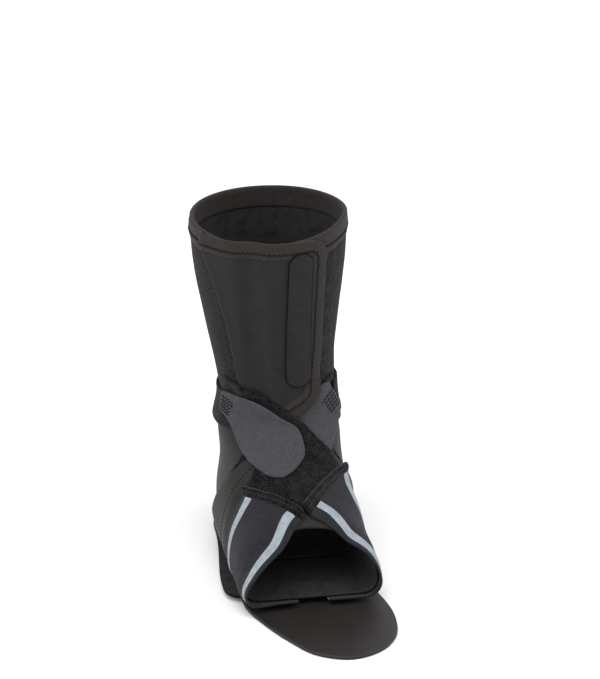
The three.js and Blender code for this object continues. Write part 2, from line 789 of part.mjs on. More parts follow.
// The soft cover over the rear of the plate: a round heel and two round corners in front.
function soleCover() {
  const front = -coverFront;
  const outerX = -0.55 * coverWidth;
  const innerX = 0.45 * coverWidth;
  const heelX = 0.345 * coverWidth;
  const heelY = heelReach - 0.6 * heelX;
  const shape = new THREE.Shape();
  shape.moveTo(innerX - coverCorner, front);
  shape.absarc(innerX - coverCorner, front + coverCorner, coverCorner, -Math.PI / 2, 0, false);
  shape.bezierCurveTo(innerX, -0.3 * coverLength, heelX, 0, heelX, heelY - 0.2 * coverLength);
  shape.bezierCurveTo(heelX, heelReach, 0.5 * heelX, heelReach + 1, 0, heelReach + 1);
  const waistX = -1.25 * heelX;
  const waistY = 0.15 * coverLength;
  shape.bezierCurveTo(-0.7 * heelX, heelReach + 1, -1.2 * heelX, heelReach - 10, waistX, waistY);
  const cornerY = front + coverCorner;
  shape.bezierCurveTo(-1.3 * heelX, -0.1 * coverLength, outerX, -0.3 * coverLength, outerX, cornerY);
  shape.absarc(outerX + coverCorner, cornerY, coverCorner, Math.PI, 1.5 * Math.PI, false);
  flatPiece("sole_cover", shape, plateThickness + layerGap, coverThickness, looped, 8);
}

// Heel boot: the heel, its sides and the rear of the sole, open in front.
function heelBoot() {
  const places = range(16, (t) => mix(bendHeight - bootTop, 90 + bootFrontReach - bendForward, t));
  const half = range(14, (t) => ringAngle(mix(bootOpening, 1, t)));
  const angles = [...half, ...half.slice(0, -1).map((angle) => 360 - angle).reverse()];
  const grid = places.map((place) => angles.map((angle) => ringPoint(place, angle)));
  lay("heel_boot", grid, bootThickness, neoprene);
}

const sleeveStart = -15;
const sleeveTurn = 340;
const sleeveColumns = 50;
const topRise = column(sleeveTopTable, "angle", 1, "rise", braceHeight);

function sleeveTop(angle) {
  return braceHeight + topRise(angle);
}

function calfSleeve() {
  const grid = range(7, (t) =>
    range(sleeveColumns, (u) => {
      const angle = sleeveStart + sleeveTurn * u;
      return legPoint(mix(sleeveTop(angle), sleeveBottom, t), angle);
    }),
  );
  lay("calf_sleeve", grid, sleeveThickness, looped);
}

function sleeveTopBinding() {
  const grid = range(1, (t) =>
    range(sleeveColumns, (u) => {
      const angle = sleeveStart + 1 + (sleeveTurn - 2) * u;
      return legPoint(sleeveTop(angle) - mix(0, sleeveTapeWidth, t), angle);
    }),
  );
  lay("sleeve_top_binding", grid, tapeThickness, tape);
}

const wrapEdge = column(wrapEdgeTable, "angle", 1, "place", 1);

function wrapFront(angle) {
  const low = ease((Math.abs(angle) - 30) / 90);
  return 90 + toeOpening - bendForward + 8 * low;
}

// How far the wrap's rear edge stands off at its sides.
function flareAt(angle, share) {
  const turned = Math.abs(angle);
  const sides = ease((turned - 35) / 30) * ease((140 - turned) / 25);
  const amount = angle < 0 ? wrapFlare : 0.5 * wrapFlare;
  return amount * sides * (1 - ease(share / 0.4));
}

function footWrap() {
  const shares = range(11, (t) => t);
  const half = range(19, (t) => ringAngle(t));
  const angles = [...half, ...half.slice(1, -1).map((angle) => -angle).reverse()];
  const grid = angles.map((angle) =>
    shares.map((share) => ringPoint(mix(wrapEdge(Math.abs(angle)), wrapFront(angle), share), angle)),
  );
  const lift = (i, j) => flareAt(angles[i], shares[j]);
  lay("foot_wrap", grid, wrapThickness, neoprene, { lift, tube: true });
}

// Tape along the wrap's rear edge, one side of the foot at a time.
function wrapBinding(name, side) {
  const line = range(12, (t) => {
    const angle = side * mix(30, 138, t);
    return ringPoint(wrapEdge(Math.abs(angle)) + 0.8, angle).p;
  });
  const inward = side < 0 ? [0, wrapTapeWidth] : [wrapTapeWidth, 0];
  const grid = band(line, range(14, (t) => t), 1, () => inward);
  lay(name, grid, tapeThickness, tape);
}

function loopStrap(name, edges) {
  const grid = between(edges.rear, edges.front, range(13, (t) => t), 6, strapWidth / drawnStrapWidth);
  lay(name, grid, strapThickness, looped);
}

// Elastic strap from its folded seam on the instep down the side and under the forefoot.
function elasticStrap(name, edges) {
  const grid = between(edges.rear, edges.front, range(18, (t) => t), 6, strapWidth / drawnStrapWidth);
  lay(name, grid, elasticThickness, knit);
}

const strapHeight = column(ankleStrapTable, "angle", 1, "height", ankleStrapHeight);

function ankleStrap() {
  const line = range(30, (t) => {
    const angle = mix(46, 314, t);
    return legPoint(strapHeight(angle), angle).p;
  });
  const grid = band(line, range(30, (t) => t), 2, () => [ankleStrapWidth / 2, ankleStrapWidth / 2]);
  lay("ankle_strap", grid, strapThickness, knit);
}

// Teardrop tab at the end of the ankle strap: narrow at the strap, round at its tip.
function tab(name, edges) {
  const shares = range(13, (t) => Math.sin(t * 90 * degrees) ** 0.9);
  const grid = between(edges.upper, edges.lower, shares, 6, tabWidth / drawnTabWidth);
  lay(name, grid, tabThickness, hookCloth);
}

const panelLeft = column(panelTable, "height", braceHeight, "left", 1);
const panelRight = column(panelTable, "height", braceHeight, "right", 1);
const panelBottom = column(panelBottomTable, "across", 1, "height", braceHeight);
const panelTop = braceHeight - 2;

// A place on the front panel: u across from the outer edge, v down from the top.
function panelPoint(u, v) {
  const half = (panelRight(panelTop) * degrees * calfDepth) / 2;
  const cornerShare = panelCorner / (half - (panelLeft(panelTop) * degrees * calfDepth) / 2);
  const into = clamp((u - 1 + cornerShare) / cornerShare, 0, 1);
  const rounding = panelCorner * (1 - Math.sqrt(Math.max(0, 1 - into ** 2)));
  const height = mix(panelTop - rounding, panelBottom(u) + 0.7 * rounding, v);
  return legPoint(height, mix(panelLeft(height), panelRight(height), u));
}

function frontPanel() {
  const across = [...range(11, (t) => 0.86 * t), 0.91, 0.95, 0.98, 1];
  const grid = range(9, (v) => across.map((u) => panelPoint(u, v)));
  lay("front_panel", grid, panelThickness, smoothCloth);
}

// Tape along the sleeve's rim, the panel's top and inner edge, and a part of its lower edge.
function panelBinding() {
  const rim = range(3, (t) => {
    const angle = mix(-102, -81, t);
    return legPoint(mix(sleeveTop(angle + 360), panelTop, ease(t)), angle).p;
  });
  const top = range(7, (t) => panelPoint(mix(0.01, 0.86, t), 0.004).p);
  const corner = [0.93, 0.975].map((u) => panelPoint(u, 0.004).p);
  const side = range(6, (t) => panelPoint(0.992, mix(0.03, 0.97, t)).p);
  const lowCorner = [0.975, 0.93].map((u) => panelPoint(u, 0.996).p);
  const bottom = range(3, (t) => panelPoint(mix(0.86, 0.45, t), 0.996).p);
  const line = [...rim, ...top, ...corner, ...side, ...lowCorner, ...bottom];
  const grid = band(line, range(52, (t) => t), 1, () => [0, panelTapeWidth]);
  lay("panel_binding", grid, tapeThickness, tape);
}

function closurePatch() {
  const from = braceHeight - 9;
  const line = range(5, (t) => legPoint(mix(from, from - patchLength, t), mix(13.3, 9.5, t)).p);
  const end = patchWidth / (2 * patchLength);
  const round = (t) => {
    const into = clamp(1 - Math.min(t, 1 - t) / end, 0, 1);
    return Math.sqrt(Math.max(0.01, 1 - into ** 2));
  };
  const near = [0, 0.02, 0.05, 1].map((share) => share * end);
  const between = range(8, (t) => mix(end, 1 - end, t)).slice(1, -1);
  const shares = [...near, ...between, ...near.map((share) => 1 - share).reverse()];
  const grid = band(line, shares, 2, (t) => [(round(t) * patchWidth) / 2, (round(t) * patchWidth) / 2]);
  lay("closure_patch", grid, tapeThickness, smoothCloth);
}

footplate();
soleCover();
heelBoot();
calfSleeve();
sleeveTopBinding();
footWrap();
wrapBinding("wrap_binding_lateral", -1);
wrapBinding("wrap_binding_medial", 1);
loopStrap("lateral_loop_strap", lateralLoopEdges);
elasticStrap("lateral_elastic", lateralElasticEdges);
ankleStrap();
tab("medial_tab", medialTabEdges);
frontPanel();
panelBinding();
closurePatch();
loopStrap("medial_loop_strap", medialLoopEdges);
elasticStrap("medial_elastic", medialElasticEdges);
tab("lateral_tab", lateralTabEdges);

export default brace;
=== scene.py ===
# %% [markdown]
# # An ankle brace of cloth, elastic and moulded plastic
# The brace is a stack of thin sheets wrapped round a foot and a lower leg. None of its sheets has a
# shape of its own: each follows the body under it and the sheets laid before it. So the lesson builds
# the space of the leg and foot once, as a smooth distance field, and then lays every sheet on it in
# the order in which a hand would put it on. Shapes are worked out in millimetres, as a pattern maker
# would, and turned into Blender's metres when a mesh is made.

# %% Load the measured frame
import math

import bpy
import numpy as np
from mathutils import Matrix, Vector
from mathutils.bvhtree import BVHTree


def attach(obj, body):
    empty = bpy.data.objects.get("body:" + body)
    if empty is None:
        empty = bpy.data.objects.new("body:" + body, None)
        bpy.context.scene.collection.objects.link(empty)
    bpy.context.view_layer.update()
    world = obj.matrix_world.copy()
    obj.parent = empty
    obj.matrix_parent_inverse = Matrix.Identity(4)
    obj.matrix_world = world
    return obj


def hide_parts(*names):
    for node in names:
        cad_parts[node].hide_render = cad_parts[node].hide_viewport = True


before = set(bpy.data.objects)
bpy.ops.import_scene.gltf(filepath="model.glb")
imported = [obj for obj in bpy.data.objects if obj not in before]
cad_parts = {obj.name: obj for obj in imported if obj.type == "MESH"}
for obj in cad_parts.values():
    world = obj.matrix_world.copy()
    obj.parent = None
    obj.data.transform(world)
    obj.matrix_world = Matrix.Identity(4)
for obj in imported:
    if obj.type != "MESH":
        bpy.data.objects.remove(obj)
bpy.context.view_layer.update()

# %% [markdown]
# The camera comes first, because it decides how much detail each piece needs. The picture was taken
# from far away with a long lens, slightly from the wearer's inner side and from above, so lines that
# are parallel stay almost parallel. A far camera with a long lens gives the same calm perspective.

# %% Camera
camera_place = Vector((-0.6106, -3.1412, 1.425))
camera_aim = Vector((0.0092, -0.0071, 0.1468))
camera_data = bpy.data.cameras.new("camera")
camera_data.lens = 279.2
camera = bpy.data.objects.new("camera", camera_data)
camera.location = camera_place
camera.rotation_euler = (camera_aim - camera_place).to_track_quat("-Z", "Y").to_euler()
bpy.context.scene.collection.objects.link(camera)
bpy.context.scene.camera = camera
print("camera is", round((camera_aim - camera_place).length, 2), "m from the brace")

# %% [markdown]
# Black cloth only shows its shape where light grazes it. Large area lights act like soft boxes in a
# studio: one above and in front, one on each side, and a bright room all round. The floor is a plain
# pale plane, big enough to fill the picture.

# %% Floor and light
def area_light(name, place, aim, size, power):
    data = bpy.data.lights.new(name, "AREA")
    data.shape = "SQUARE"
    data.size = size
    data.energy = power
    light = bpy.data.objects.new(name, data)
    light.location = place
    light.rotation_euler = (Vector(aim) - Vector(place)).to_track_quat("-Z", "Y").to_euler()
    bpy.context.scene.collection.objects.link(light)


brace_middle = (0, -0.02, 0.1)
area_light("soft_box_above", (-0.3, -0.7, 1.9), brace_middle, 1.3, 19)
area_light("soft_box_left", (-1.5, -0.7, 0.9), brace_middle, 1.0, 10)
area_light("soft_box_right", (1.5, -0.5, 0.9), brace_middle, 1.0, 10)

world = bpy.data.worlds.new("room")
world.use_nodes = True
world.node_tree.nodes["Background"].inputs["Color"].default_value = (1, 1, 1, 1)
world.node_tree.nodes["Background"].inputs["Strength"].default_value = 0.92
bpy.context.scene.world = world
bpy.context.scene.view_settings.view_transform = "Standard"

floor_mesh = bpy.data.meshes.new("floor")
floor_reach = 6.0
corners = [(-floor_reach, -floor_reach, 0), (floor_reach, -floor_reach, 0)]
corners += [(floor_reach, floor_reach, 0), (-floor_reach, floor_reach, 0)]
floor_mesh.from_pydata(corners, [], [(0, 1, 2, 3)])
floor = bpy.data.objects.new("floor", floor_mesh)
bpy.context.scene.collection.objects.link(floor)
floor_material = bpy.data.materials.new("pale_floor")
floor_material.use_nodes = True
floor_shader = floor_material.node_tree.nodes["Principled BSDF"]
floor_shader.inputs["Base Color"].default_value = (0.88, 0.88, 0.88, 1)
floor_shader.inputs["Roughness"].default_value = 0.75
floor_mesh.materials.append(floor_material)
print("lights:", [light.name for light in bpy.data.lights])

# %% [markdown]
# ## The space of the leg and foot
# A distance field says for every point how far it is outside (positive) or inside (negative) the
# form. An elliptical leg, a foot that narrows to the toes and a round heel are joined with a soft
# minimum, which gives the smooth hollows that skin and padding have. Sections are read from tables
# of shares, so the form follows the sizes of the brace.

# %% Sizes of the brace in millimetres
brace_height = 230.0
calf_width, calf_depth = 97.0, 100.0
ankle_width, ankle_depth = 64.0, 76.0
calf_set_back = 6.0
foot_width = 88.0
instep_height = 76.0
plate_length = 251.0
plate_width = 92.0
heel_reach = 62.0

plate_thickness = 2.4
cover_thickness = 1.8
boot_thickness = 2.2
wrap_thickness = 2.0
sleeve_thickness = 2.2
panel_thickness = 1.8
strap_thickness = 1.5
elastic_thickness = 1.6
tab_thickness = 1.3
tape_thickness = 0.7
layer_gap = 0.5
print("brace height", brace_height, "mm, plate length", plate_length, "mm")


# %% [markdown]
# Body forms change slowly, so a few measured sections are enough, and a smooth curve runs between
# them. Straight lines would leave a ridge at each section.

# %% A smooth reader for tables
def reader(keys, values):
    keys = np.asarray(keys, float)
    values = np.asarray(values, float)
    slopes = np.empty_like(values)
    slopes[0] = (values[1] - values[0]) / (keys[1] - keys[0])
    slopes[-1] = (values[-1] - values[-2]) / (keys[-1] - keys[-2])
    slopes[1:-1] = (values[2:] - values[:-2]) / (keys[2:] - keys[:-2])

    def read(place):
        t = np.clip(place, keys[0], keys[-1])
        i = np.clip(np.searchsorted(keys, t) - 1, 0, len(keys) - 2)
        step = keys[i + 1] - keys[i]
        u = (t - keys[i]) / step
        rise = (u**3 - 2 * u**2 + u) * slopes[i] + (u**3 - u**2) * slopes[i + 1]
        return values[i] + (3 * u**2 - 2 * u**3) * (values[i + 1] - values[i]) + step * rise

    return read


def columns(table, *sizes):
    table = np.array(table, float) * np.array(sizes)
    return [reader(table[:, 0], table[:, k]) for k in range(1, table.shape[1])]


leg_spread, leg_side = columns(
    [  # height, spread from ankle to calf, lean to the outer side
        (0, -0.1, -0.021),
        (0.13, 0, -0.021),
        (0.261, 0.15, -0.026),
        (0.357, 0.32, -0.031),
        (0.435, 0.13, -0.036),
        (0.504, 0.2, -0.041),
        (0.609, 0.34, -0.064),
        (0.739, 0.62, -0.079),
        (0.87, 0.9, -0.087),
        (1, 1, -0.088),
        (1.13, 1.05, -0.093),
    ],
    brace_height,
    1,
    calf_width,
)
foot_half, foot_top, foot_side = columns(
    [  # place along the plate, half width, top above the sole, lean
        (0.128, 0.375, 0.714, -0.011),
        (0.247, 0.415, 0.896, -0.023),
        (0.367, 0.4375, 1, -0.045),
        (0.466, 0.455, 0.844, -0.057),
        (0.566, 0.47, 0.675, -0.051),
        (0.665, 0.489, 0.519, -0.034),
        (0.765, 0.511, 0.39, -0.023),
        (0.884, 0.477, 0.273, -0.011),
        (0.984, 0.386, 0.195, 0),
    ],
    plate_length,
    foot_width,
    instep_height,
    foot_width,
)
print("half width of the foot at its middle:", round(float(foot_half(0.5 * plate_length)), 1), "mm")

# %% [markdown]
# The leg, heel and foot are ellipsoids with changing widths. A sculpted mesh would do too, but a
# field answers at once how far a point is from the form and which way is out, and laying cloth asks
# for exactly that. The sole is kept flat at the height of the layers under the foot.

# %% The distance field of the form
slack = 1.2
bed_rear = plate_thickness + cover_thickness + wrap_thickness + boot_thickness + 4 * layer_gap + slack
bed_front = plate_thickness + elastic_thickness + wrap_thickness + 3 * layer_gap + slack
cover_length = 154.0
cover_front = cover_length - heel_reach
bed_step = 12.0


def mix(a, b, share):
    return a + (b - a) * share


def ease(value):
    t = np.clip(value, 0, 1)
    return t * t * (3 - 2 * t)


def soft_min(a, b, width):
    h = np.clip(0.5 + 0.5 * (b - a) / width, 0, 1)
    return b * (1 - h) + a * h - width * h * (1 - h)


def ellipsoid(x, y, z, rx, ry, rz):
    k0 = np.sqrt((x / rx) ** 2 + (y / ry) ** 2 + (z / rz) ** 2)
    k1 = np.sqrt((x / rx**2) ** 2 + (y / ry**2) ** 2 + (z / rz**2) ** 2)
    return k0 * (k0 - 1) / np.maximum(k1, 1e-6)


def form(p):
    x, y, z = p[..., 0], p[..., 1], p[..., 2]
    spread = leg_spread(z)
    leg_x = mix(ankle_width, calf_width, spread) / 2
    leg_y = mix(ankle_depth, calf_depth, spread) / 2
    low = 0.26 * brace_height
    leg_back = 4 + calf_set_back * np.clip((z - low) / (brace_height - low), 0, 1.3)
    leg = ellipsoid(x - leg_side(z), y - leg_back, 0 * z, leg_x, leg_y, 1e3)
    sole = mix(bed_front, bed_rear, ease((y + cover_front + 0.8 * bed_step) / bed_step))
    heel = ellipsoid(x, y - 20, z - (bed_rear + 27), 0.484 * ankle_width, 36, 40)
    along = heel_reach - y
    half = foot_half(along)
    top = foot_top(along)
    middle = sole + 0.2 * top
    tall = np.where(z > middle, 0.8 * top, 1.6 * top)
    foot = ellipsoid(x - foot_side(along), np.maximum(y - 30, 0), z - middle, half, half, tall)
    body = soft_min(soft_min(leg, foot, 22), heel, 14)
    return -soft_min(-body, z - sole, 9)


def slope_of(p, step=0.05):
    out = np.empty_like(p)
    for k in range(3):
        shift = np.zeros(3)
        shift[k] = step
        out[..., k] = (form(p + shift) - form(p - shift)) / (2 * step)
    return out


def settle(p, rounds=5):
    """Moves points onto the form and returns them with the outward normals there."""
    p = np.array(p, float)
    for _ in range(rounds):
        slope = slope_of(p)
        p -= (form(p) / np.maximum((slope * slope).sum(-1), 1e-6))[..., None] * slope
    slope = slope_of(p)
    return p, slope / np.linalg.norm(slope, axis=-1, keepdims=True)


print("the middle of the ankle is", round(float(form(np.array([0.0, 0, 90]))), 1), "mm inside")

# %% [markdown]
# ## Two ways to draw on the form
# Sleeves and wraps go round the leg, so they are drawn with rings: up the leg, round the bend of the
# ankle like the ribs of a fan, and forward along the foot. Straps run where they like, so they are
# drawn as bands: a smooth middle line, and from it short walks to both sides that follow the curved
# form as a thread pulled tight would.

# %% Rings
bend_forward, bend_height, bend_to_axis = 48.0, 95.0, 52.0
foot_axis_drop = 0.35


def unit(v):
    return v / np.maximum(np.linalg.norm(v, axis=-1, keepdims=True), 1e-9)


def ring_point(place, angle):
    """Points of the form: place below 0 is up the leg, 0 to 90 round the bend, above along the foot."""
    place, angle = np.broadcast_arrays(np.asarray(place, float), np.asarray(angle, float))
    turn = np.radians(np.clip(place, 0, 90))
    forward = np.maximum(place - 90, 0)
    front = np.stack([0 * turn, -np.cos(turn), np.sin(turn)], -1)
    centre = np.array([0, -bend_forward, bend_height]) - bend_to_axis * front
    centre[..., 2] += np.maximum(-place, 0) - foot_axis_drop * forward
    centre[..., 1] -= forward
    centre[..., 0] = leg_side(np.where(place < 0, centre[..., 2], bend_height))
    round_angle = np.radians(angle)[..., None]
    ray = front * np.cos(round_angle) + np.array([1.0, 0, 0]) * np.sin(round_angle)
    reach = np.arange(3, 120, 3.0)
    inside = form(centre[..., None, :] + ray[..., None, :] * reach[:, None]) < 0
    far = reach[np.argmin(inside, axis=-1)]
    near = far - 3
    for _ in range(14):
        middle = (near + far) / 2
        within = form(centre + ray * middle[..., None]) < 0
        near = np.where(within, middle, near)
        far = np.where(within, far, middle)
    return settle(centre + ray * near[..., None])


def leg_point(height, angle):
    return ring_point(bend_height - np.asarray(height, float), angle)


print("front of the shin at the top:", np.round(leg_point(brace_height, 0)[0], 1))


# %% [markdown]
# A strap is a strip with a smooth middle line. The strip's sides are found by small steps over the
# form, because points pushed sideways in a straight line would leave a round form.

# %% Bands
def path_length(points):
    """How far along a line of points each of them lies."""
    return np.concatenate([[0], np.cumsum(np.linalg.norm(np.diff(points, axis=0), axis=1))])


def read_line(at, length, points):
    return np.stack([np.interp(at, length, column) for column in points.T], -1)


def curve_points(points, shares):
    """Centripetal spline through the points, read at shares of its length."""
    points = np.asarray(points, float)
    q = np.concatenate([[2 * points[0] - points[1]], points, [2 * points[-1] - points[-2]]])
    samples = []
    for k in range(len(points) - 1):
        p0, p1, p2, p3 = q[k : k + 4]
        d0, d1, d2 = [math.sqrt(np.linalg.norm(b - a)) for a, b in ((p0, p1), (p1, p2), (p2, p3))]
        m1 = ((p1 - p0) / d0 - (p2 - p0) / (d0 + d1) + (p2 - p1) / d1) * d1
        m2 = ((p2 - p1) / d1 - (p3 - p1) / (d1 + d2) + (p3 - p2) / d2) * d1
        t = np.linspace(0, 1, 60, endpoint=k == len(points) - 2)[:, None]
        bend = (2 * p1 - 2 * p2 + m1 + m2) * t**3 + (-3 * p1 + 3 * p2 - 2 * m1 - m2) * t**2
        samples.append(p1 + m1 * t + bend)
    samples = np.concatenate(samples)
    length = path_length(samples)
    return read_line(np.clip(shares, 0, 1) * length[-1], length, samples)


def band(line, shares, left, right, cells):
    """A grid of points on the form beside a line; left and right are its reach at each share."""
    line = settle(line)[0]
    shares = np.asarray(shares, float)
    point, normal = settle(curve_points(line, shares))
    ahead = settle(curve_points(line, shares + 0.04))[0]
    behind = settle(curve_points(line, shares - 0.04))[0]
    sideways = unit(np.cross(unit(ahead - behind), normal))
    sides = []
    for sign, reach in ((-1, left), (1, right)):
        reach = np.broadcast_to(np.asarray(reach, float), shares.shape)
        count = max(1, int(round(cells * reach.max() / max(np.max(left), np.max(right)))))
        here, way = point, sign * sideways
        walked = []
        for _ in range(count if reach.max() > 0 else 0):
            there, up = settle(here + way * (reach / count)[:, None], 4)
            way = there - here
            way = unit(way - up * (way * up).sum(-1, keepdims=True))
            here = there
            walked.append(here)
        sides.append(walked)
    return settle(np.stack([*sides[0][::-1], point, *sides[1]], 1), 2)


def resample(grid, rows, cols):
    """Reads a grid of values between its points, at fractional rows and columns."""
    rows, cols = np.broadcast_arrays(rows, cols)
    i = np.clip(np.floor(rows).astype(int), 0, grid.shape[0] - 2)
    j = np.clip(np.floor(cols).astype(int), 0, grid.shape[1] - 2)
    u, v = rows - i, cols - j
    if grid.ndim == 3:
        u, v = u[..., None], v[..., None]
    top = grid[i, j] * (1 - v) + grid[i, j + 1] * v
    low = grid[i + 1, j] * (1 - v) + grid[i + 1, j + 1] * v
    return top * (1 - u) + low * u


print("bands and rings are ready")

# %% [markdown]
# ## Laying a sheet
# Cloth could be dropped on the form with a simulation, but then its edges would end up where the
# solver likes. Here every sheet keeps its pattern: rays find how high the sheets below reach, a small
# blur lets the cloth bridge their edges as stiff cloth does, and the sheet is raised by that much.
# Each sheet is a closed body with rounded edges, and its texture coordinates are real distances, so
# a weave has the same scale everywhere.

# %% How high the laid sheets reach
ray_start = 26.0
laid_points = []
laid_faces = []


def laid_heights(p, n):
    tree = BVHTree.FromPolygons(laid_points, laid_faces) if laid_faces else None
    heights = np.zeros(p.shape[:-1])
    if tree is None:
        return heights
    flat_p = (p + n * ray_start).reshape(-1, 3)
    flat_n = -n.reshape(-1, 3)
    found = heights.reshape(-1)
    for k in range(len(flat_p)):
        distance = tree.ray_cast(flat_p[k].tolist(), flat_n[k].tolist(), ray_start + 1)[3]
        if distance is not None:
            found[k] = max(0, ray_start - distance)
    return heights


def around(values, tube):
    mode = "wrap" if tube else "edge"
    wide = np.pad(np.pad(values, ((1, 1), (0, 0)), mode=mode), ((0, 0), (1, 1)), mode="edge")
    rows, cols = values.shape
    return np.stack([wide[a : a + rows, b : b + cols] for a in range(3) for b in range(3)])


def drape(p, n, tube=False, softness=4):
    raw = laid_heights(p, n)
    heights = around(raw, tube).max(0)
    for _ in range(softness):
        heights = np.maximum(raw, around(heights, tube).mean(0))
    return heights + layer_gap


# %% [markdown]
# A plane with a Solidify modifier would also give cloth its thickness. Two skins made together let
# the edge be rounded, the outer skin carry folds of its own, and the lining have its own finish.

# %% A mesh from two skins
def make_object(name, points, faces, uv, kinds, finishes):
    """A smooth mesh on the part's only body; kinds says which of the finishes each face has."""
    mesh = bpy.data.meshes.new(name)
    mesh.from_pydata((np.asarray(points) * 0.001).tolist(), [], faces)
    for finish in finishes:
        mesh.materials.append(finish.material)
    if kinds is not None:
        mesh.polygons.foreach_set("material_index", kinds)
    layer = mesh.uv_layers.new(name="UVMap")
    corner = np.empty(len(mesh.loops), int)
    mesh.loops.foreach_get("vertex_index", corner)
    layer.data.foreach_set("uv", np.asarray(uv)[corner].ravel())
    mesh.polygons.foreach_set("use_smooth", [True] * len(mesh.polygons))
    mesh.update()
    piece = bpy.data.objects.new(name, mesh)
    bpy.context.scene.collection.objects.link(piece)
    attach(piece, "root")
    return piece


def grid_faces(rows, cols, start=0, tube=False, flip=False):
    i = np.arange(rows if tube else rows - 1)[:, None]
    j = np.arange(cols - 1)[None, :]
    a = start + i * cols + j
    b = start + ((i + 1) % rows) * cols + j
    quads = np.stack([a, b, b + 1, a + 1], -1).reshape(-1, 4)
    return quads[:, ::-1] if flip else quads


def facing_out(points, faces):
    """True where a closed mesh of quads has its faces pointing out."""
    a, b, c, d = [points[faces[:, k]] for k in range(4)]
    volume = (a * np.cross(b, c)).sum() + (a * np.cross(c, d)).sum()
    return volume > 0


def two_skins(over, under, tube=False):
    """A closed body between two grids of points; also gives how many faces the outer skin has."""
    rows, cols = over.shape[:2]
    total = rows * cols
    index = np.arange(total).reshape(rows, cols)
    quads = [grid_faces(rows, cols, 0, tube), grid_faces(rows, cols, total, tube, True)]
    rims = [index[:, 0], index[::-1, -1]] + ([] if tube else [index[0, ::-1], index[-1, :]])
    for rim in rims:
        ring = np.append(rim, rim[0]) if tube else rim
        quads.append(np.stack([ring[:-1] + total, ring[1:] + total, ring[1:], ring[:-1]], -1))
    points = np.concatenate([over.reshape(-1, 3), under.reshape(-1, 3)])
    faces = np.concatenate(quads)
    return points, faces if facing_out(points, faces) else faces[:, ::-1], len(quads[0])


def remember(points, faces):
    """Adds a laid piece to the ground for the next ones."""
    start = len(laid_points)
    laid_points.extend(points.tolist())
    laid_faces.extend([[index + start for index in face] for face in faces])


def edge_steps(count, cell, radius, ends=True):
    """Row or column places with a few close ones at each end, where the edge is rounded."""
    inner = np.arange(1, count - 1, dtype=float)
    near = np.array([0, 0.07, 0.25, 0.6, 1.1]) * radius / cell
    near = near[near < 0.9]
    return np.concatenate([near, inner, (count - 1 - near)[::-1]]) if ends else np.arange(float(count))


class Sheet:
    """A sheet laid on the form: its base points p, normals n, and the height of its top skin."""

    def __init__(self, p, n, low, top, tube):
        self.p, self.n, self.low, self.top, self.tube = p, n, low, top, tube
        step = np.linalg.norm(np.diff(p, axis=1), axis=-1)
        self.across = np.pad(np.cumsum(step, 1), ((0, 0), (1, 0)))
        step = np.linalg.norm(np.diff(p, axis=0), axis=-1)
        self.along = np.pad(np.cumsum(step, 0), ((1, 0), (0, 0)))

    def surface(self, rows, cols, lift=0.0):
        p = resample(self.p, rows, cols)
        n = unit(resample(self.n, rows, cols))
        return p + n * (resample(self.top, rows, cols) + lift)[..., None], n


def lay(name, grid, thickness, finishes, node, slot, tube=False, relief=None, lift=0, zones=None, stiff=4):
    """Lays a sheet over what is there, makes its mesh and remembers it for the next sheets."""
    p, n = grid
    heights = drape(p, n, tube, stiff) + lift
    cell_rows = np.linalg.norm(np.diff(p, axis=0), axis=-1).mean()
    cell_cols = np.linalg.norm(np.diff(p, axis=1), axis=-1).mean()
    rows = edge_steps(p.shape[0], cell_rows, thickness, not tube)[:, None]
    cols = edge_steps(p.shape[1], cell_cols, thickness)[None, :]
    if tube:
        p, heights = np.concatenate([p, p[:1]]), np.concatenate([heights, heights[:1]])
    low = resample(heights, rows, cols)
    p, n = settle(resample(p, rows, cols), 2)
    sheet = Sheet(p, n, low, low, tube)
    u, v = sheet.across, sheet.along
    from_edge = np.minimum(u, u[:, -1:] - u)
    if not tube:
        from_edge = np.minimum(from_edge, np.minimum(v, v[-1:] - v))
    into = np.clip(from_edge / thickness, 0, 1)
    full = thickness * (0.3 + 0.7 * np.sqrt(1 - (1 - into) ** 2))
    extra = relief(sheet) if relief else 0.0
    sheet.top = low + full + extra * ease(into)
    under = p + n * (low + 0.1 * thickness * (1 - into))[..., None]
    points, faces, skin = two_skins(p + n * sheet.top[..., None], under, tube)
    uv = np.stack([u, v], -1).reshape(-1, 2) * 0.001
    kinds = np.zeros(len(faces), int)
    if zones is not None:
        kinds[:skin] = zones(rows, cols)[: low.shape[0] if tube else -1, :-1].reshape(-1)
    if len(finishes) > 1:
        kinds[skin : 2 * skin] = len(finishes) - 1
    piece = make_object(name, points, faces.tolist(), np.concatenate([uv, uv]), kinds, finishes)
    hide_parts(node)
    remember(points, faces.tolist())
    sheet.piece = piece
    print(name, len(faces), "faces,", round(float(sheet.across[:, -1].mean())), "mm across")
    return sheet


# %% [markdown]
# ## Finishes
# Every finish is made of nodes, at true scale: the texture coordinates are metres, so a rib that is
# one millimetre wide on the real tape is one millimetre wide here. Black goods differ by their sheen
# and grain more than by their colour. Loop cloth is fuzzy and swallows light, jersey on foam is fine
# and even, tape has ribs across it, elastic has ribs and a bluish thread, hook cloth is a grey felt
# of tiny hooks, and the plate is moulded plastic.

# %% A small helper for node materials
def shade(red, green, blue):
    """Colour from 0 to 255 as a screen shows it, turned into the linear values that shaders use."""
    part = np.array([red, green, blue]) / 255
    return (*np.where(part < 0.04045, part / 12.92, ((part + 0.055) / 1.055) ** 2.4).tolist(), 1.0)


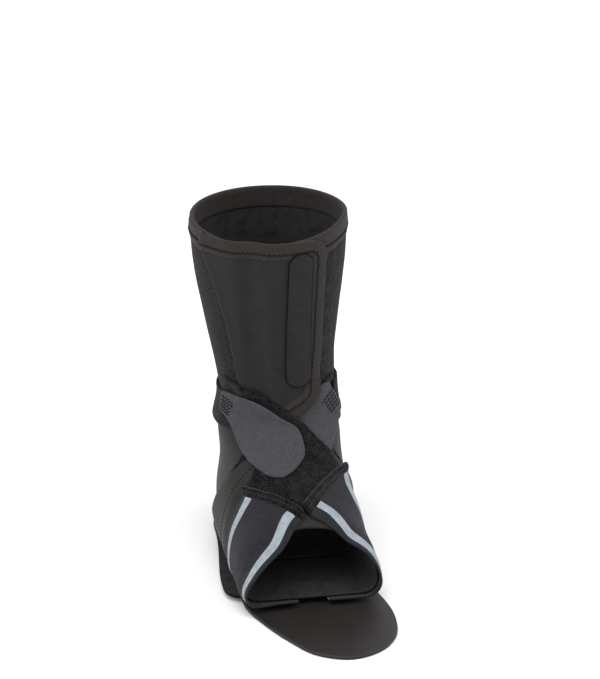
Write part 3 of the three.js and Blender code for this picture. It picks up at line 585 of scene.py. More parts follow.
class Finish:
    def __init__(self, name, roughness, sheen=0.0, specular=0.3):
        self.material = bpy.data.materials.new(name)
        self.material.use_nodes = True
        self.tree = self.material.node_tree
        self.shader = self.tree.nodes["Principled BSDF"]
        self.shader.inputs["Roughness"].default_value = roughness
        self.shader.inputs["Specular IOR Level"].default_value = specular
        self.shader.inputs["Sheen Weight"].default_value = sheen
        self.shader.inputs["Sheen Roughness"].default_value = 0.45
        place = self.node("ShaderNodeTexCoord").outputs["UV"]
        scale = self.node("ShaderNodeMapping", Vector=place)
        scale.inputs["Scale"].default_value = (1000, 1000, 1000)
        self.mm = scale.outputs["Vector"]

    def node(self, kind, setting=None, **inputs):
        made = self.tree.nodes.new(kind)
        for key, value in (setting or {}).items():
            setattr(made, key, value)
        for key, value in inputs.items():
            socket = made.inputs[key.replace("_", " ")]
            if isinstance(value, bpy.types.NodeSocket):
                self.tree.links.new(value, socket)
            else:
                socket.default_value = value
        return made

    def noise(self, size, detail=2.0, stretch=None):
        """Clouds with features of that many millimetres."""
        place = self.mm
        if stretch:
            place = self.node("ShaderNodeMapping", Vector=self.mm, Scale=stretch).outputs["Vector"]
        return self.node("ShaderNodeTexNoise", Vector=place, Scale=1 / size, Detail=detail).outputs["Fac"]

    def ribs(self, period, direction="Y", wobble=0.0):
        """Soft ribs with that many millimetres from one to the next."""
        setting = {"wave_type": "BANDS", "bands_direction": direction, "wave_profile": "SIN"}
        made = self.node("ShaderNodeTexWave", setting, Vector=self.mm, Scale=0.314 / period)
        made.inputs["Distortion"].default_value = wobble
        return made.outputs["Fac"]

    def join(self, how, a, b):
        made = self.node("ShaderNodeMath", {"operation": how})
        for socket, value in zip(made.inputs, (a, b)):
            if isinstance(value, bpy.types.NodeSocket):
                self.tree.links.new(value, socket)
            else:
                socket.default_value = value
        return made.outputs[0]

    def colour(self, share, dark, light, low=0.3, high=0.7):
        ramp = self.node("ShaderNodeValToRGB", Fac=share)
        ramp.color_ramp.elements[0].position = low
        ramp.color_ramp.elements[0].color = dark
        ramp.color_ramp.elements[1].position = high
        ramp.color_ramp.elements[1].color = light
        self.tree.links.new(ramp.outputs["Color"], self.shader.inputs["Base Color"])

    def bump(self, height, depth):
        """Relief of that many millimetres."""
        made = self.node("ShaderNodeBump", Height=height, Distance=depth * 0.001, Strength=1.0)
        self.tree.links.new(made.outputs["Normal"], self.shader.inputs["Normal"])


# %% [markdown]
# Loop cloth is the soft side of a hook-and-loop closure. Its pile has no direction, so clouds of
# noise at two sizes serve: small ones for the tufts, larger ones where the pile lies down.

# %% Loop cloth, jersey and lining
loop_cloth = Finish("loop_cloth", 1.0, 0.1, 0.05)
laid_pile = loop_cloth.join("MULTIPLY", loop_cloth.noise(6), 0.5)
tufts = loop_cloth.join("ADD", loop_cloth.noise(1.1, 6.0), laid_pile)
loop_cloth.colour(tufts, shade(5, 5, 5), shade(38, 35, 36), 0.62, 0.95)
loop_cloth.bump(tufts, 1.1)

jersey = Finish("jersey_on_foam", 0.7, 0.04, 0.14)
stitches_of_knit = jersey.join("ADD", jersey.ribs(0.75, "X", 0.4), jersey.ribs(0.6, "Y", 0.6))
grain = jersey.join("ADD", jersey.join("MULTIPLY", stitches_of_knit, 0.3), jersey.noise(9))
jersey.colour(grain, shade(24, 24, 24), shade(34, 34, 34), 0.35, 1.0)
jersey.bump(stitches_of_knit, 0.06)

side_cloth = Finish("side_cloth", 0.85, 0.06, 0.1)
side_clouds = side_cloth.join("MULTIPLY", side_cloth.noise(9), 0.35)
side_grain = side_cloth.join("ADD", side_cloth.noise(1.0, 5.0), side_clouds)
side_cloth.colour(side_grain, shade(9, 8, 7), shade(33, 29, 27), 0.5, 0.85)
side_cloth.bump(side_grain, 0.8)

neoprene = Finish("neoprene", 0.62, 0.03, 0.2)
skin = neoprene.join("ADD", neoprene.noise(0.9, 3.0), neoprene.noise(14))
neoprene.colour(skin, shade(17, 18, 16), shade(29, 30, 27), 0.75, 1.25)
neoprene.bump(skin, 0.1)

lining = Finish("lining", 0.9, 0.05, 0.1)
lining_grain = lining.join("ADD", lining.noise(0.6, 3.0), lining.noise(7))
lining.colour(lining_grain, shade(26, 25, 25), shade(42, 40, 40), 0.75, 1.25)
lining.bump(lining_grain, 0.2)

# %% [markdown]
# Tape and elastic are woven. The weft shows as fine ribs across the strip, and the elastic has a
# second, coarser set of ribs where its rubber threads pull the knit together.

# %% Tape, elastic, stripes, hooks, plastic and thread
tape = Finish("binding_tape", 0.75, 0.05, 0.14)
tape_ribs = tape.ribs(0.9, "Y", 0.5)
tape.colour(tape.join("ADD", tape_ribs, tape.noise(5)), shade(26, 23, 22), shade(46, 42, 40), 0.5, 1.5)
tape.bump(tape_ribs, 0.14)

edge_tape = Finish("edge_tape", 0.8, 0.03, 0.1)
edge_ribs = edge_tape.ribs(0.9, "Y", 0.5)
edge_grain = edge_tape.join("ADD", edge_ribs, edge_tape.noise(5))
edge_tape.colour(edge_grain, shade(8, 7, 7), shade(30, 28, 27), 0.5, 1.5)
edge_tape.bump(edge_ribs, 0.2)

elastic = Finish("elastic_knit", 0.75, 0.05, 0.14)
weft = elastic.ribs(1.5, "Y", 0.4)
warp = elastic.ribs(0.9, "X", 0.4)
knit = elastic.join("ADD", elastic.join("MULTIPLY", weft, 0.7), elastic.join("MULTIPLY", warp, 0.5))
elastic.colour(elastic.join("ADD", knit, elastic.noise(6)), shade(14, 14, 18), shade(35, 35, 41), 0.6, 1.6)
elastic.bump(knit, 0.3)

stripe_knit = Finish("stripe_knit", 0.75, 0.03, 0.2)
stripe_ribs = stripe_knit.ribs(1.1, "Y", 0.2)
stripe_grain = stripe_knit.join("ADD", stripe_ribs, stripe_knit.noise(4))
stripe_knit.colour(stripe_grain, shade(92, 99, 106), shade(156, 165, 172), 0.45, 1.15)
stripe_knit.bump(stripe_ribs, 0.2)

hook_cloth = Finish("hook_cloth", 0.9, 0.08, 0.08)
hooks = hook_cloth.node("ShaderNodeTexVoronoi", Vector=hook_cloth.mm, Scale=1.5).outputs["Distance"]
hook_grain = hook_cloth.join("ADD", hooks, hook_cloth.join("MULTIPLY", hook_cloth.noise(5, 3.0), 0.5))
hook_cloth.colour(hook_grain, shade(50, 50, 54), shade(66, 66, 70), 0.3, 1.0)
hook_cloth.bump(hooks, 0.15)

plastic = Finish("moulded_plastic", 0.5, 0.0, 0.3)
plastic_grain = plastic.join("ADD", plastic.noise(1.2, 4.0), plastic.noise(30))
plastic.colour(plastic_grain, shade(24, 21, 21), shade(33, 30, 29), 0.7, 1.3)
plastic.bump(plastic_grain, 0.04)

thread = Finish("thread", 0.7, 0.05, 0.2)
thread.colour(thread.noise(2), shade(40, 37, 37), shade(58, 55, 54))

# Dark thread for the seams; the same dark finish also paints the shade in the groove round the patch.
dark_thread_and_shade = Finish("dark_thread_and_shade", 0.8, 0.0, 0.1)
dark_thread_and_shade.colour(dark_thread_and_shade.noise(2), shade(6, 6, 6), shade(16, 15, 15))
print(len(bpy.data.materials), "finishes")

# %% [markdown]
# ## Stitches
# Stitches are real threads here, not a picture of them: short bent tubes that dip into the cloth at
# both ends. A straight seam puts them end to end; a zigzag throws them from side to side, which is
# how stretch cloth and edges are sewn. One mesh holds a whole seam.

# %% A seam of threads
def threads(name, starts, ends, normals, finish, radius, bow=0.35):
    """One short bent tube from each start to its end."""
    share = np.linspace(0, 1, 5)
    sides = 6
    line = starts[:, None] + (ends - starts)[:, None] * share[None, :, None]
    line = line + normals[:, None] * (bow * np.sin(np.pi * share) - 0.6 * radius)[None, :, None]
    ahead = unit(ends - starts)
    beside = unit(np.cross(ahead, normals))
    turn = np.linspace(0, 2 * np.pi, sides, endpoint=False)
    round_it = beside[:, None, :] * np.cos(turn)[:, None] + normals[:, None, :] * np.sin(turn)[:, None]
    thick = radius * np.array([0.45, 0.95, 1, 0.95, 0.45])
    points = line[:, :, None] + round_it[:, None] * thick[None, :, None, None]
    count = len(starts)
    base = (np.arange(count) * 5 * sides)[:, None, None]
    i = (np.arange(4) * sides)[None, :, None]
    j = np.arange(sides)[None, None, :]
    k = (j + 1) % sides
    quads = np.stack([base + i + j, base + i + k, base + i + sides + k, base + i + sides + j], -1)
    caps = base[:, 0] + np.arange(sides)[None, ::-1]
    caps = np.concatenate([caps, base[:, 0] + 4 * sides + np.arange(sides)[None, :]])
    uv = np.broadcast_to(np.arange(count * 5 * sides)[:, None] * 0.0001, (count * 5 * sides, 2))
    faces = quads.reshape(-1, 4)[:, ::-1].tolist() + caps[:, ::-1].tolist()
    return make_object(name, points.reshape(-1, 3), faces, uv, None, [finish])


def along_line(points, normals, spacing):
    """Even places along a line of surface points, with the way ahead and the normal at each."""
    length = path_length(points)
    at = np.arange(spacing / 2, length[-1] - spacing / 2, spacing)
    p, n = read_line(at, length, points), unit(read_line(at, length, normals))
    return p, n, unit(read_line(at + 0.5, length, points) - p)


def straight_seam(name, points, normals, finish, slot, stitch, gap, radius):
    p, n, ahead = along_line(points, normals, stitch + gap)
    sewn = threads(name, p - ahead * stitch / 2, p + ahead * stitch / 2, n, finish, radius)


def zigzag_seam(name, points, normals, finish, slot, width, step, radius):
    p, n, ahead = along_line(points, normals, step)
    sign = np.where(np.arange(len(p)) % 2, 1, -1)[:, None]
    side = np.cross(ahead, n) * width / 2 * sign
    sewn = threads(name, p - side - ahead * step / 2, p + side + ahead * step / 2, n, finish, radius)


def columns_at(sheet, rows, distance, from_left=True):
    """Fractional columns at a distance in millimetres from a side edge, one row of them for each row."""
    rows = np.asarray(rows, float)
    distance = np.atleast_1d(np.asarray(distance, float))
    i = np.clip(np.floor(rows).astype(int), 0, sheet.across.shape[0] - 2)
    lengths = sheet.across[i] + (sheet.across[i + 1] - sheet.across[i]) * (rows - i)[:, None]
    distance = distance if distance.ndim == 2 else distance[None, :]
    wanted = distance if from_left else lengths[:, -1:] - distance
    wanted = np.broadcast_to(wanted, (len(rows), distance.shape[1]))
    order = np.arange(lengths.shape[1])
    return np.stack([np.interp(wanted[k], lengths[k], order) for k in range(len(rows))])


def row_at(sheet, distance):
    """Fractional row at a distance in millimetres from the first row, by the sheet's middle line."""
    middle = sheet.along[:, sheet.along.shape[1] // 2]
    return np.interp(distance, middle, np.arange(len(middle)))


print("stitches are ready")

# %% [markdown]
# ## The footplate and its cover
# The plate is a moulded sheet of plastic in the shape of an insole, and its rear is covered with
# loop cloth so that the wrap can be fastened to it. Both are flat, so an outline with a rounded edge
# is all they need. Rings of points that move in while they move up make the rounding.

# %% A flat piece with a rounded edge
def flat_piece(name, outline, bottom, thickness, radius, finish, slot, node):
    ahead = np.roll(outline, -1, 0) - np.roll(outline, 1, 0)
    inward = unit(np.stack([-ahead[:, 1], ahead[:, 0]], -1))
    following = np.roll(outline, -1, 0)
    area = 0.5 * (outline[:, 0] * following[:, 1] - outline[:, 1] * following[:, 0]).sum()
    if area < 0:
        inward = -inward
    turn = np.linspace(0, np.pi / 2, 5)
    low, high = radius * (1 - np.cos(turn[::-1])), thickness - radius * (1 - np.sin(turn))
    inset = np.concatenate([radius * (1 - np.sin(turn[::-1])), radius * (1 - np.cos(turn)), [4 * radius]])
    height = bottom + np.concatenate([low, high, [thickness]])
    count = len(outline)
    rings = [np.column_stack([outline + inward * a, np.full(count, b)]) for a, b in zip(inset, height)]
    points = np.concatenate(rings)
    faces = []
    for r in range(len(rings) - 1):
        for k in range(count):
            m = (k + 1) % count
            faces.append((r * count + k, r * count + m, (r + 1) * count + m, (r + 1) * count + k))
    faces.append(tuple(range(count))[::-1])
    faces.append(tuple(range((len(rings) - 1) * count, len(rings) * count)))
    if area < 0:
        faces = [face[::-1] for face in faces]
    piece = make_object(name, points, faces, points[:, :2] * 0.001, None, [finish])
    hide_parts(node)
    print(name, "area", round(abs(area) / 100), "cm2")


def closed_curve(points, count):
    """An even closed spline through the points."""
    points = np.asarray(points, float)
    wrapped = np.concatenate([points[-3:], points, points[:3]])
    whole = curve_points(np.column_stack([wrapped, np.zeros(len(wrapped))]), np.linspace(0, 1, 4000))[:, :2]
    first = np.argmin(np.linalg.norm(whole[:1500] - points[0], axis=1))
    last = 2500 + np.argmin(np.linalg.norm(whole[2500:] - points[0], axis=1))
    whole = whole[first:last]
    length = path_length(whole)
    return read_line(np.linspace(0, length[-1], count, endpoint=False), length, whole)


# %% [markdown]
# The footplate is what makes the brace stiff: it keeps the sole from bending. Its outline is that of
# a foot, broad at the ball and round at the heel, as a closed smooth curve through a few points.

# %% The footplate
plate_outline = [  # place along the plate from the heel, place across it
    (0, 0),
    (0.03, -0.24),
    (0.12, -0.36),
    (0.28, -0.38),
    (0.42, -0.42),
    (0.55, -0.475),
    (0.65, -0.49),
    (0.75, -0.42),
    (0.86, -0.305),
    (0.96, -0.15),
    (1, 0.07),
    (0.97, 0.29),
    (0.89, 0.45),
    (0.76, 0.51),
    (0.62, 0.47),
    (0.47, 0.39),
    (0.3, 0.335),
    (0.12, 0.33),
    (0.03, 0.22),
]
outline = [(side * plate_width, heel_reach - along * plate_length) for along, side in plate_outline]
outline = closed_curve(outline, 360)
plate_edge = 0.9
flat_piece("footplate_shell", outline, 0, plate_thickness, plate_edge, plastic, "plastic", "footplate")

# %% [markdown]
# The cover is loop cloth glued on the rear of the plate. It has round front corners and follows the
# heel, so arcs and four curves with handles draw its outline as a pattern maker would.

# %% The sole cover
cover_width = 100.0
cover_corner = 14.0


def bezier(a, b, c, d, count=40):
    t = np.linspace(0, 1, count, endpoint=False)[:, None]
    a, b, c, d = [np.array(point, float) for point in (a, b, c, d)]
    return a * (1 - t) ** 3 + 3 * b * t * (1 - t) ** 2 + 3 * c * t * t * (1 - t) + d * t**3


def corner_arc(x, y, radius, start, end, count=14):
    turn = np.linspace(start, end, count, endpoint=False)
    return np.stack([x + radius * np.cos(turn), y + radius * np.sin(turn)], -1)


front = -cover_front
outer_x, inner_x, heel_x = -0.55 * cover_width, 0.45 * cover_width, 0.345 * cover_width
heel_y, heel_end = heel_reach - 0.6 * heel_x, heel_reach + 1
side_y, front_y = heel_y - 0.2 * cover_length, -0.3 * cover_length
waist = (-1.25 * heel_x, 0.15 * cover_length)
corner_y = front + cover_corner
cover_outline = np.concatenate(
    [
        corner_arc(inner_x - cover_corner, corner_y, cover_corner, -np.pi / 2, 0),
        bezier((inner_x, corner_y), (inner_x, front_y), (heel_x, 0), (heel_x, side_y)),
        bezier((heel_x, side_y), (heel_x, heel_reach), (0.5 * heel_x, heel_end), (0, heel_end)),
        bezier((0, heel_end), (-0.7 * heel_x, heel_end), (-1.2 * heel_x, heel_reach - 10), waist),
        bezier(waist, (-1.3 * heel_x, -0.1 * cover_length), (outer_x, front_y), (outer_x, corner_y)),
        corner_arc(outer_x + cover_corner, corner_y, cover_corner, np.pi, 1.5 * np.pi),
    ]
)
cover_bottom, cover_edge = plate_thickness + layer_gap, 0.8
cover = (cover_outline, cover_bottom, cover_thickness, cover_edge)
flat_piece("sole_cover_cloth", *cover, loop_cloth, "loop_cloth", "sole_cover")

# %% [markdown]
# ## Boot, sleeve and wrap
# Three foam sheets hold the foot: a boot round the heel, a sleeve round the calf and a wrap round
# the middle of the foot. They are the ground for everything else, so they come first. Real foam is
# never quite even, so a slow wave a third of a millimetre high runs through each of them.

# %% Uneven cloth
def uneven(depth, size=26.0, turn=0.0):
    """A slow wave in a sheet's surface, the same on every run."""

    def relief(sheet):
        p = sheet.p / size
        x, y, z = p[..., 0], p[..., 1], p[..., 2]
        slow = np.sin(1.9 * x + 1.3 * z + turn) * np.sin(1.7 * y - 0.8 * z + 2 * turn)
        quick = np.sin(4.3 * x - 2.2 * y + 3.1 * z + turn) * np.sin(3.7 * z + 1.1 * y)
        return depth * (slow + 0.45 * quick)

    return relief


def ring_angle(share):
    closest, pull, turn = 0.65, 18, 2 * np.pi
    return 180 * share - pull * (np.sin(turn * (share - closest)) + np.sin(turn * closest))


# %% [markdown]
# The boot is a soft foam sheet round the heel, open over the instep. Rings round the bend of the
# ankle fit it best, because they stay close together in front and spread round the heel.

# %% The heel boot
boot_top, boot_front_reach = 100.0, 50.0
places = np.linspace(bend_height - boot_top, 90 + boot_front_reach - bend_forward, 44)
half = ring_angle(np.linspace(0.1, 1, 56))
angles = np.concatenate([half, (360 - half[:-1])[::-1]])
boot = lay(
    "heel_boot_cloth",
    ring_point(places[:, None], angles[None, :]),
    boot_thickness,
    [neoprene, lining],
    "heel_boot",
    "neoprene",
    relief=uneven(0.2),
)

# %% [markdown]
# The sleeve wraps the calf and closes in front under the panel. Its sides are loop cloth, where
# hooks can grip, and its back is a calmer cloth, so one sheet carries two finishes by zones.

# %% The calf sleeve
sleeve_bottom = 86.0
sleeve_start, sleeve_turn = -15.0, 340.0
panel_left, panel_right = columns(
    [  # height, left edge and right edge of the front panel in degrees
        (0.474, -42, 26),
        (0.504, -44, 27),
        (0.565, -45.5, 30),
        (0.652, -48.5, 34),
        (0.713, -50, 34.5),
        (0.8, -55.5, 35),
        (0.87, -60.5, 35.5),
        (0.93, -69, 36),
        (1, -75, 37),
    ],
    brace_height,
    1,
    1,
)
sleeve_rows, sleeve_cols = 60, 134
top_rise = reader([-15, 0, 40, 75, 110, 180, 250, 285, 325], [-5, -4, -1, 2, 1, -1, -1, -2.5, -5])


def sleeve_top(angle):
    return brace_height + top_rise(angle)


angles = angles_of_sleeve = sleeve_start + np.linspace(0, sleeve_turn, sleeve_cols)
heights = mix(sleeve_top(angles)[None, :], sleeve_bottom, np.linspace(0, 1, sleeve_rows)[:, None])


def sleeve_zones(rows, cols):
    """Loop cloth beside the front panel, plain cloth round the back."""
    height = mix(brace_height, sleeve_bottom, rows / (sleeve_rows - 1))
    angle = np.interp(cols, np.arange(sleeve_cols), angles)
    outer_edge = 360 + panel_left(height) - 13
    loops = (angle < 66) | (angle > outer_edge)
    return np.where(loops, 0, 1)


sleeve = lay(
    "calf_sleeve_cloth",
    leg_point(heights, angles[None, :]),
    sleeve_thickness,
    [loop_cloth, side_cloth, lining],
    "calf_sleeve",
    "loop_cloth",
    relief=uneven(0.22, 30, 1),
    zones=sleeve_zones,
)

# %% [markdown]
# The wrap holds the middle of the foot, from the ankle to the toes. It is a tube, so its last row
# meets its first, and its rear edges stand off a little, as foam does where it isn't pulled tight.

# %% The foot wrap
wrap_edge = reader([0, 30, 50, 75, 100, 130, 180], [49, 57, 63, 62, 58, 58, 60])
toe_opening = 98.0
wrap_flare = 3.0
half = ring_angle(np.linspace(0, 1, 66))
angles = np.concatenate([half, -half[1:-1][::-1]])[:, None]
shares = np.linspace(0, 1, 46)[None, :]
wrap_front = 90 + toe_opening - bend_forward + 8 * ease((abs(angles) - 30) / 90)
turned = abs(angles)
sides = ease((turned - 35) / 30) * ease((140 - turned) / 25)
flare = np.where(angles < 0, wrap_flare, 0.5 * wrap_flare) * sides * (1 - ease(shares / 0.4))
wrap = lay(
    "foot_wrap_cloth",
    ring_point(mix(wrap_edge(turned), wrap_front, shares), angles),
    wrap_thickness,
    [neoprene, lining],
    "foot_wrap",
    "neoprene",
    tube=True,
    lift=flare,
    relief=uneven(0.25, 24, 2),
)

# %% [markdown]
# ## Tapes folded over the edges
# A cut edge of foam is covered with tape: folded over the edge and sewn through. Its section is a
# loop that starts on the outer face, goes round the edge and ends on the inner face. The loop is
# swept along the edge, and a zigzag seam holds it.

# %% A folded tape
def folded_tape(name, line, count, toward, width, under, cloth, node, finish=tape):
    """Tape along a line on the form; toward is the side (-1 or 1) on which the cloth lies."""
    shares = np.linspace(0, 1, count)
    reach = width + 0.5
    left, right = (reach, 0) if toward < 0 else (0, reach)
    cells = 8
    p, n = band(line, shares, left, right, cells)
    if toward < 0:
        p, n = p[:, ::-1], n[:, ::-1]
    over = laid_heights(p, n)
    for _ in range(2):
        over = around(over, False).mean(0)
    over[:, 0] = over[:, 1] = np.maximum(over[:, 1], over[:, 2])
    outward = unit(p[:, 0] - p[:, 1])
    steps = np.linspace(0, 1, 9) * width
    cols = np.broadcast_to(steps / reach * cells, (count, len(steps)))
    rows = np.broadcast_to(np.arange(float(count))[:, None], cols.shape)
    on_top = resample(p, rows, cols)
    n_top = unit(resample(n, rows, cols))
    high = resample(over, rows, cols)
    t = tape_thickness
    puff = t * (0.55 + 0.45 * np.sin(np.pi * np.clip(steps / width, 0, 1)) ** 0.5)
    outer = [on_top[:, k] + n_top[:, k] * (high[:, k] + puff[k])[:, None] for k in range(len(steps))]
    section = outer[::-1]
    turn = np.linspace(0, np.pi, 9)[1:-1]
    half = cloth / 2 + t * 0.6
    middle = on_top[:, 0] + n_top[:, 0] * (high[:, :1] - cloth / 2)
    for a in turn:
        if under <= 0 and a > 0.75 * np.pi:
            break
        section.append(middle + n_top[:, 0] * half * np.cos(a) + outward * (half * 0.9) * np.sin(a))
    if under > 0:
        for k in range(len(steps)):
            if steps[k] <= under:
                section.append(on_top[:, k] + n_top[:, k] * (high[:, k : k + 1] - cloth - 0.6 * t))
        for k in range(len(steps))[::-1]:
            if steps[k] <= under:
                section.append(on_top[:, k] + n_top[:, k] * (high[:, k : k + 1] - cloth - 0.05))
    inside = half - 0.6 * t
    for a in turn[::-1]:
        if under <= 0 and a > 0.75 * np.pi:
            continue
        section.append(middle + n_top[:, 0] * inside * np.cos(a) + outward * (inside * 0.8) * np.sin(a))
    for k in range(len(steps)):
        section.append(on_top[:, k] + n_top[:, k] * (high[:, k : k + 1] + 0.05))
    loop = np.stack(section, 1)
    size = loop.shape[1]
    faces = []
    for i in range(count - 1):
        for j in range(size):
            k = (j + 1) % size
            faces.append((i * size + j, i * size + k, (i + 1) * size + k, (i + 1) * size + j))
    faces = np.array(faces)
    points = loop.reshape(-1, 3)
    flip = not facing_out(points, faces)
    faces = faces.tolist() + [list(range(size))[::-1], list(range((count - 1) * size, count * size))]
    if flip:
        faces = [face[::-1] for face in faces]
    step = np.linalg.norm(np.diff(loop, axis=1), axis=-1)
    across = np.pad(np.cumsum(step, 1), ((0, 0), (1, 0)))
    length = path_length(on_top[:, 0])
    uv = np.stack([across, np.broadcast_to(length[:, None], across.shape)], -1).reshape(-1, 2) * 0.001
    piece = make_object(name, points, faces, uv, None, [finish])
    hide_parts(node)
    remember(points, faces[:-2])
    k = int(0.72 * (len(steps) - 1))
    zigzag_seam(name + "_seam", outer[k], n_top[:, k], dark_thread_and_shade, "binding_tape", 2.2, 1.5, 0.3)
    print(name, round(float(length[-1])), "mm long")


# %% [markdown]
# The sleeve's rim is bound with wide tape and the wrap's rear edges with narrow tape. Each tape
# follows the same curve as the edge that it closes, so none has to be fitted by hand.

# %% The rim of the sleeve and the rear edges of the wrap
sleeve_tape_width = 13.0
rim_angles = np.linspace(sleeve_start + 1, sleeve_start + sleeve_turn - 1, 60)
rim_line = leg_point(sleeve_top(rim_angles), rim_angles)[0]
tape_sizes = (sleeve_tape_width, sleeve_tape_width, sleeve_thickness)
folded_tape("rim_tape", rim_line, 200, 1, *tape_sizes, "sleeve_top_binding")

tape_sizes = (7.0, 5.0, wrap_thickness)
for name, side in (("lateral", -1), ("medial", 1)):
    edge_angles = side * np.linspace(30, 138, 30)
    edge_line = ring_point(wrap_edge(abs(edge_angles)), edge_angles)[0]
    node = f"wrap_binding_{name}"
    folded_tape(f"wrap_edge_tape_{name}", edge_line, 70, -side, *tape_sizes, node, edge_tape)

# %% [markdown]
# ## Straps
# Two straps cross on the instep. Each is loop cloth from the ankle to the instep, and from a folded
# seam on it is ribbed elastic that runs down the side and under the forefoot. The stripes of the
# elastic are knitted in with a paler thread, so they are thin ribbons that stand a little proud.

# %% Edges of the straps and tabs, in millimetres
lateral_loop_edges = (
    [
        (-34, -55, 60), (-32.6, -52.1, 62.6), (-29.9, -51.9, 65.8), (-27.6, -49.7, 69.2), (-25, -47.1, 73.2),
        (-23, -43, 79), (-19, -40.3, 85), (-14, -38.4, 91), (-8.5, -36, 97.5), (-3.3, -34.1, 105.3),
        (3.9, -33.3, 113), (11.2, -30.5, 119), (19.4, -24.1, 125.1), (25.9, -15.2, 126.7),
    ],
    [
        (-6.5, -89, 58.6), (-3.5, -86.5, 59.8), (-0.2, -82.3, 61.6), (5.7, -74.8, 64.2), (12.1, -64.5, 66.5),
        (16.1, -54.1, 68.4), (19.2, -43.9, 72.4), (21.9, -35, 78.4), (23.6, -28.4, 84.3), (24.9, -22.4, 89.7),
        (25.9, -16.8, 95.1), (26.4, -14.1, 98.7), (28, -9.7, 100.4),
    ],
)
lateral_elastic_edges = (
    [
        (-32.6, -52.1, 62.6), (-35, -55.9, 58.2), (-37.9, -58, 53.1), (-40.5, -60, 47.4), (-43.4, -61, 39.1),
        (-45, -62, 28), (-44, -64, 17), (-39, -66, 10), (-24, -70, 8), (-12, -72, 8),
    ],
    [
        (-5.1, -88.9, 58.5), (-5.2, -93.2, 55.7), (-9.8, -96.5, 52.7), (-13.6, -100, 49.6),
        (-19.5, -106.8, 45), (-23.8, -110.6, 42), (-29, -113.5, 38), (-34, -116, 34.5),
        (-39, -118.5, 30.5), (-42, -120, 26),
        (-43.5, -119, 18), (-39, -116, 10), (-24, -113, 8), (-12, -112, 8),
    ],
)
medial_tab_edges = (
    [
        (22.5, -20, 124), (15.4, -28, 124), (7.7, -32.1, 121), (0.7, -34.1, 117), (-4.4, -34.1, 106),
        (-6.9, -37.7, 94.4), (-7.3, -44.5, 85.2), (-4.5, -50.7, 79.1), (-2.5, -52.5, 77.4),
    ],
    [
        (26.3, -14, 106), (25.3, -16, 102), (24.2, -18.3, 98.3), (23.5, -24.5, 89.8), (21.3, -31.6, 84.3),
        (17.9, -39.4, 79.1), (12.4, -47.3, 76.1), (5.8, -52.6, 75.4), (0, -53.4, 76.6), (-1.8, -52.9, 77.2),
    ],
)
medial_loop_edges = (
    [
        (25.3, -47, 64.5), (22, -42.5, 69.5), (18.2, -42.5, 74.6), (15.5, -40.5, 80), (10.3, -38.3, 87.3),
        (5.3, -35.5, 96), (1.7, -34, 102.4), (-4.2, -34.1, 109.7), (-9.4, -33.9, 114.4), (-14.9, -32.5, 118),
        (-19.4, -30.7, 121), (-24.3, -27.8, 124), (-29.1, -23.9, 126), (-34, -17, 127.3), (-37, -9, 128),
    ],
    [
        (-3, -89, 58.4), (-6.2, -87, 59.5), (-13.8, -76.4, 63.7), (-19.3, -66.5, 66.9), (-22.5, -57.9, 69.3),
        (-24.4, -50, 71.8), (-25.5, -42, 78), (-27, -34, 84), (-28.5, -27, 91), (-31, -20, 98),
        (-33.5, -14, 103), (-37, -7, 106),
    ],
)
medial_elastic_edges = (
    [
        (22, -42.5, 69.5), (27, -50, 61), (29.5, -56, 52), (33, -60, 42), (37, -63, 30),
        (37.5, -65, 18), (33, -67, 10), (20, -70, 8), (8, -72, 8),
    ],
    [
        (-6.2, -87.3, 59.3), (-1, -92, 56.5), (7.3, -96, 52.4), (14, -100.5, 47.3), (20.5, -105.6, 42.9),
        (27.5, -107, 38.2), (34, -108, 32), (38, -110, 25), (38, -112, 17), (34, -112, 10),
        (20, -112, 8), (8, -112, 8),
    ],
)
lateral_tab_edges = (
    [
        (-38, -5.3, 117.5), (-34, -15.5, 119.5), (-24.2, -27.6, 118), (-14.2, -32.5, 112), (-6, -34.6, 104),
        (-0.5, -37.5, 95), (1.5, -43, 86.5), (1.2, -49.5, 79.5), (-1.7, -56.3, 75), (-6.5, -61.9, 72.2),
    ],
    [
        (-38, -3, 104), (-34.8, -12, 100), (-33.2, -20, 92), (-32, -28, 84.5), (-29.5, -36, 79.2),
        (-26, -45, 74.8), (-23, -54, 71.2), (-18.8, -61.5, 69.6), (-12.5, -64.8, 69.9), (-7.1, -62.3, 71.9),
    ],
)


def between(edges, shares, cells):
    """A grid of points on the form between two edge lines."""
    first, second = [curve_points(settle(np.array(edge, float))[0], shares) for edge in edges]
    t = np.linspace(0, 1, cells + 1)[None, :, None]
    return settle(first[:, None] * (1 - t) + second[:, None] * t)


# %% [markdown]
# A loop strap is a plain sheet. An elastic strap begins with a folded seam, sewn twice, and carries
# two ribbons. They are bodies of their own, because their relief catches the light.

# %% How a strap is made
fold_length, fold_height, fold_rows = 6.0, 1.3, 6.2
stripe_width, stripe_start = 6.4, 7.5


def loop_strap(name, edges, node):
    grid = between(edges, np.linspace(0, 1, 64), 26)
    wave = uneven(0.15, 20, len(name))
    return lay(name, grid, strap_thickness, [loop_cloth], node, "loop_cloth", relief=wave, stiff=10)


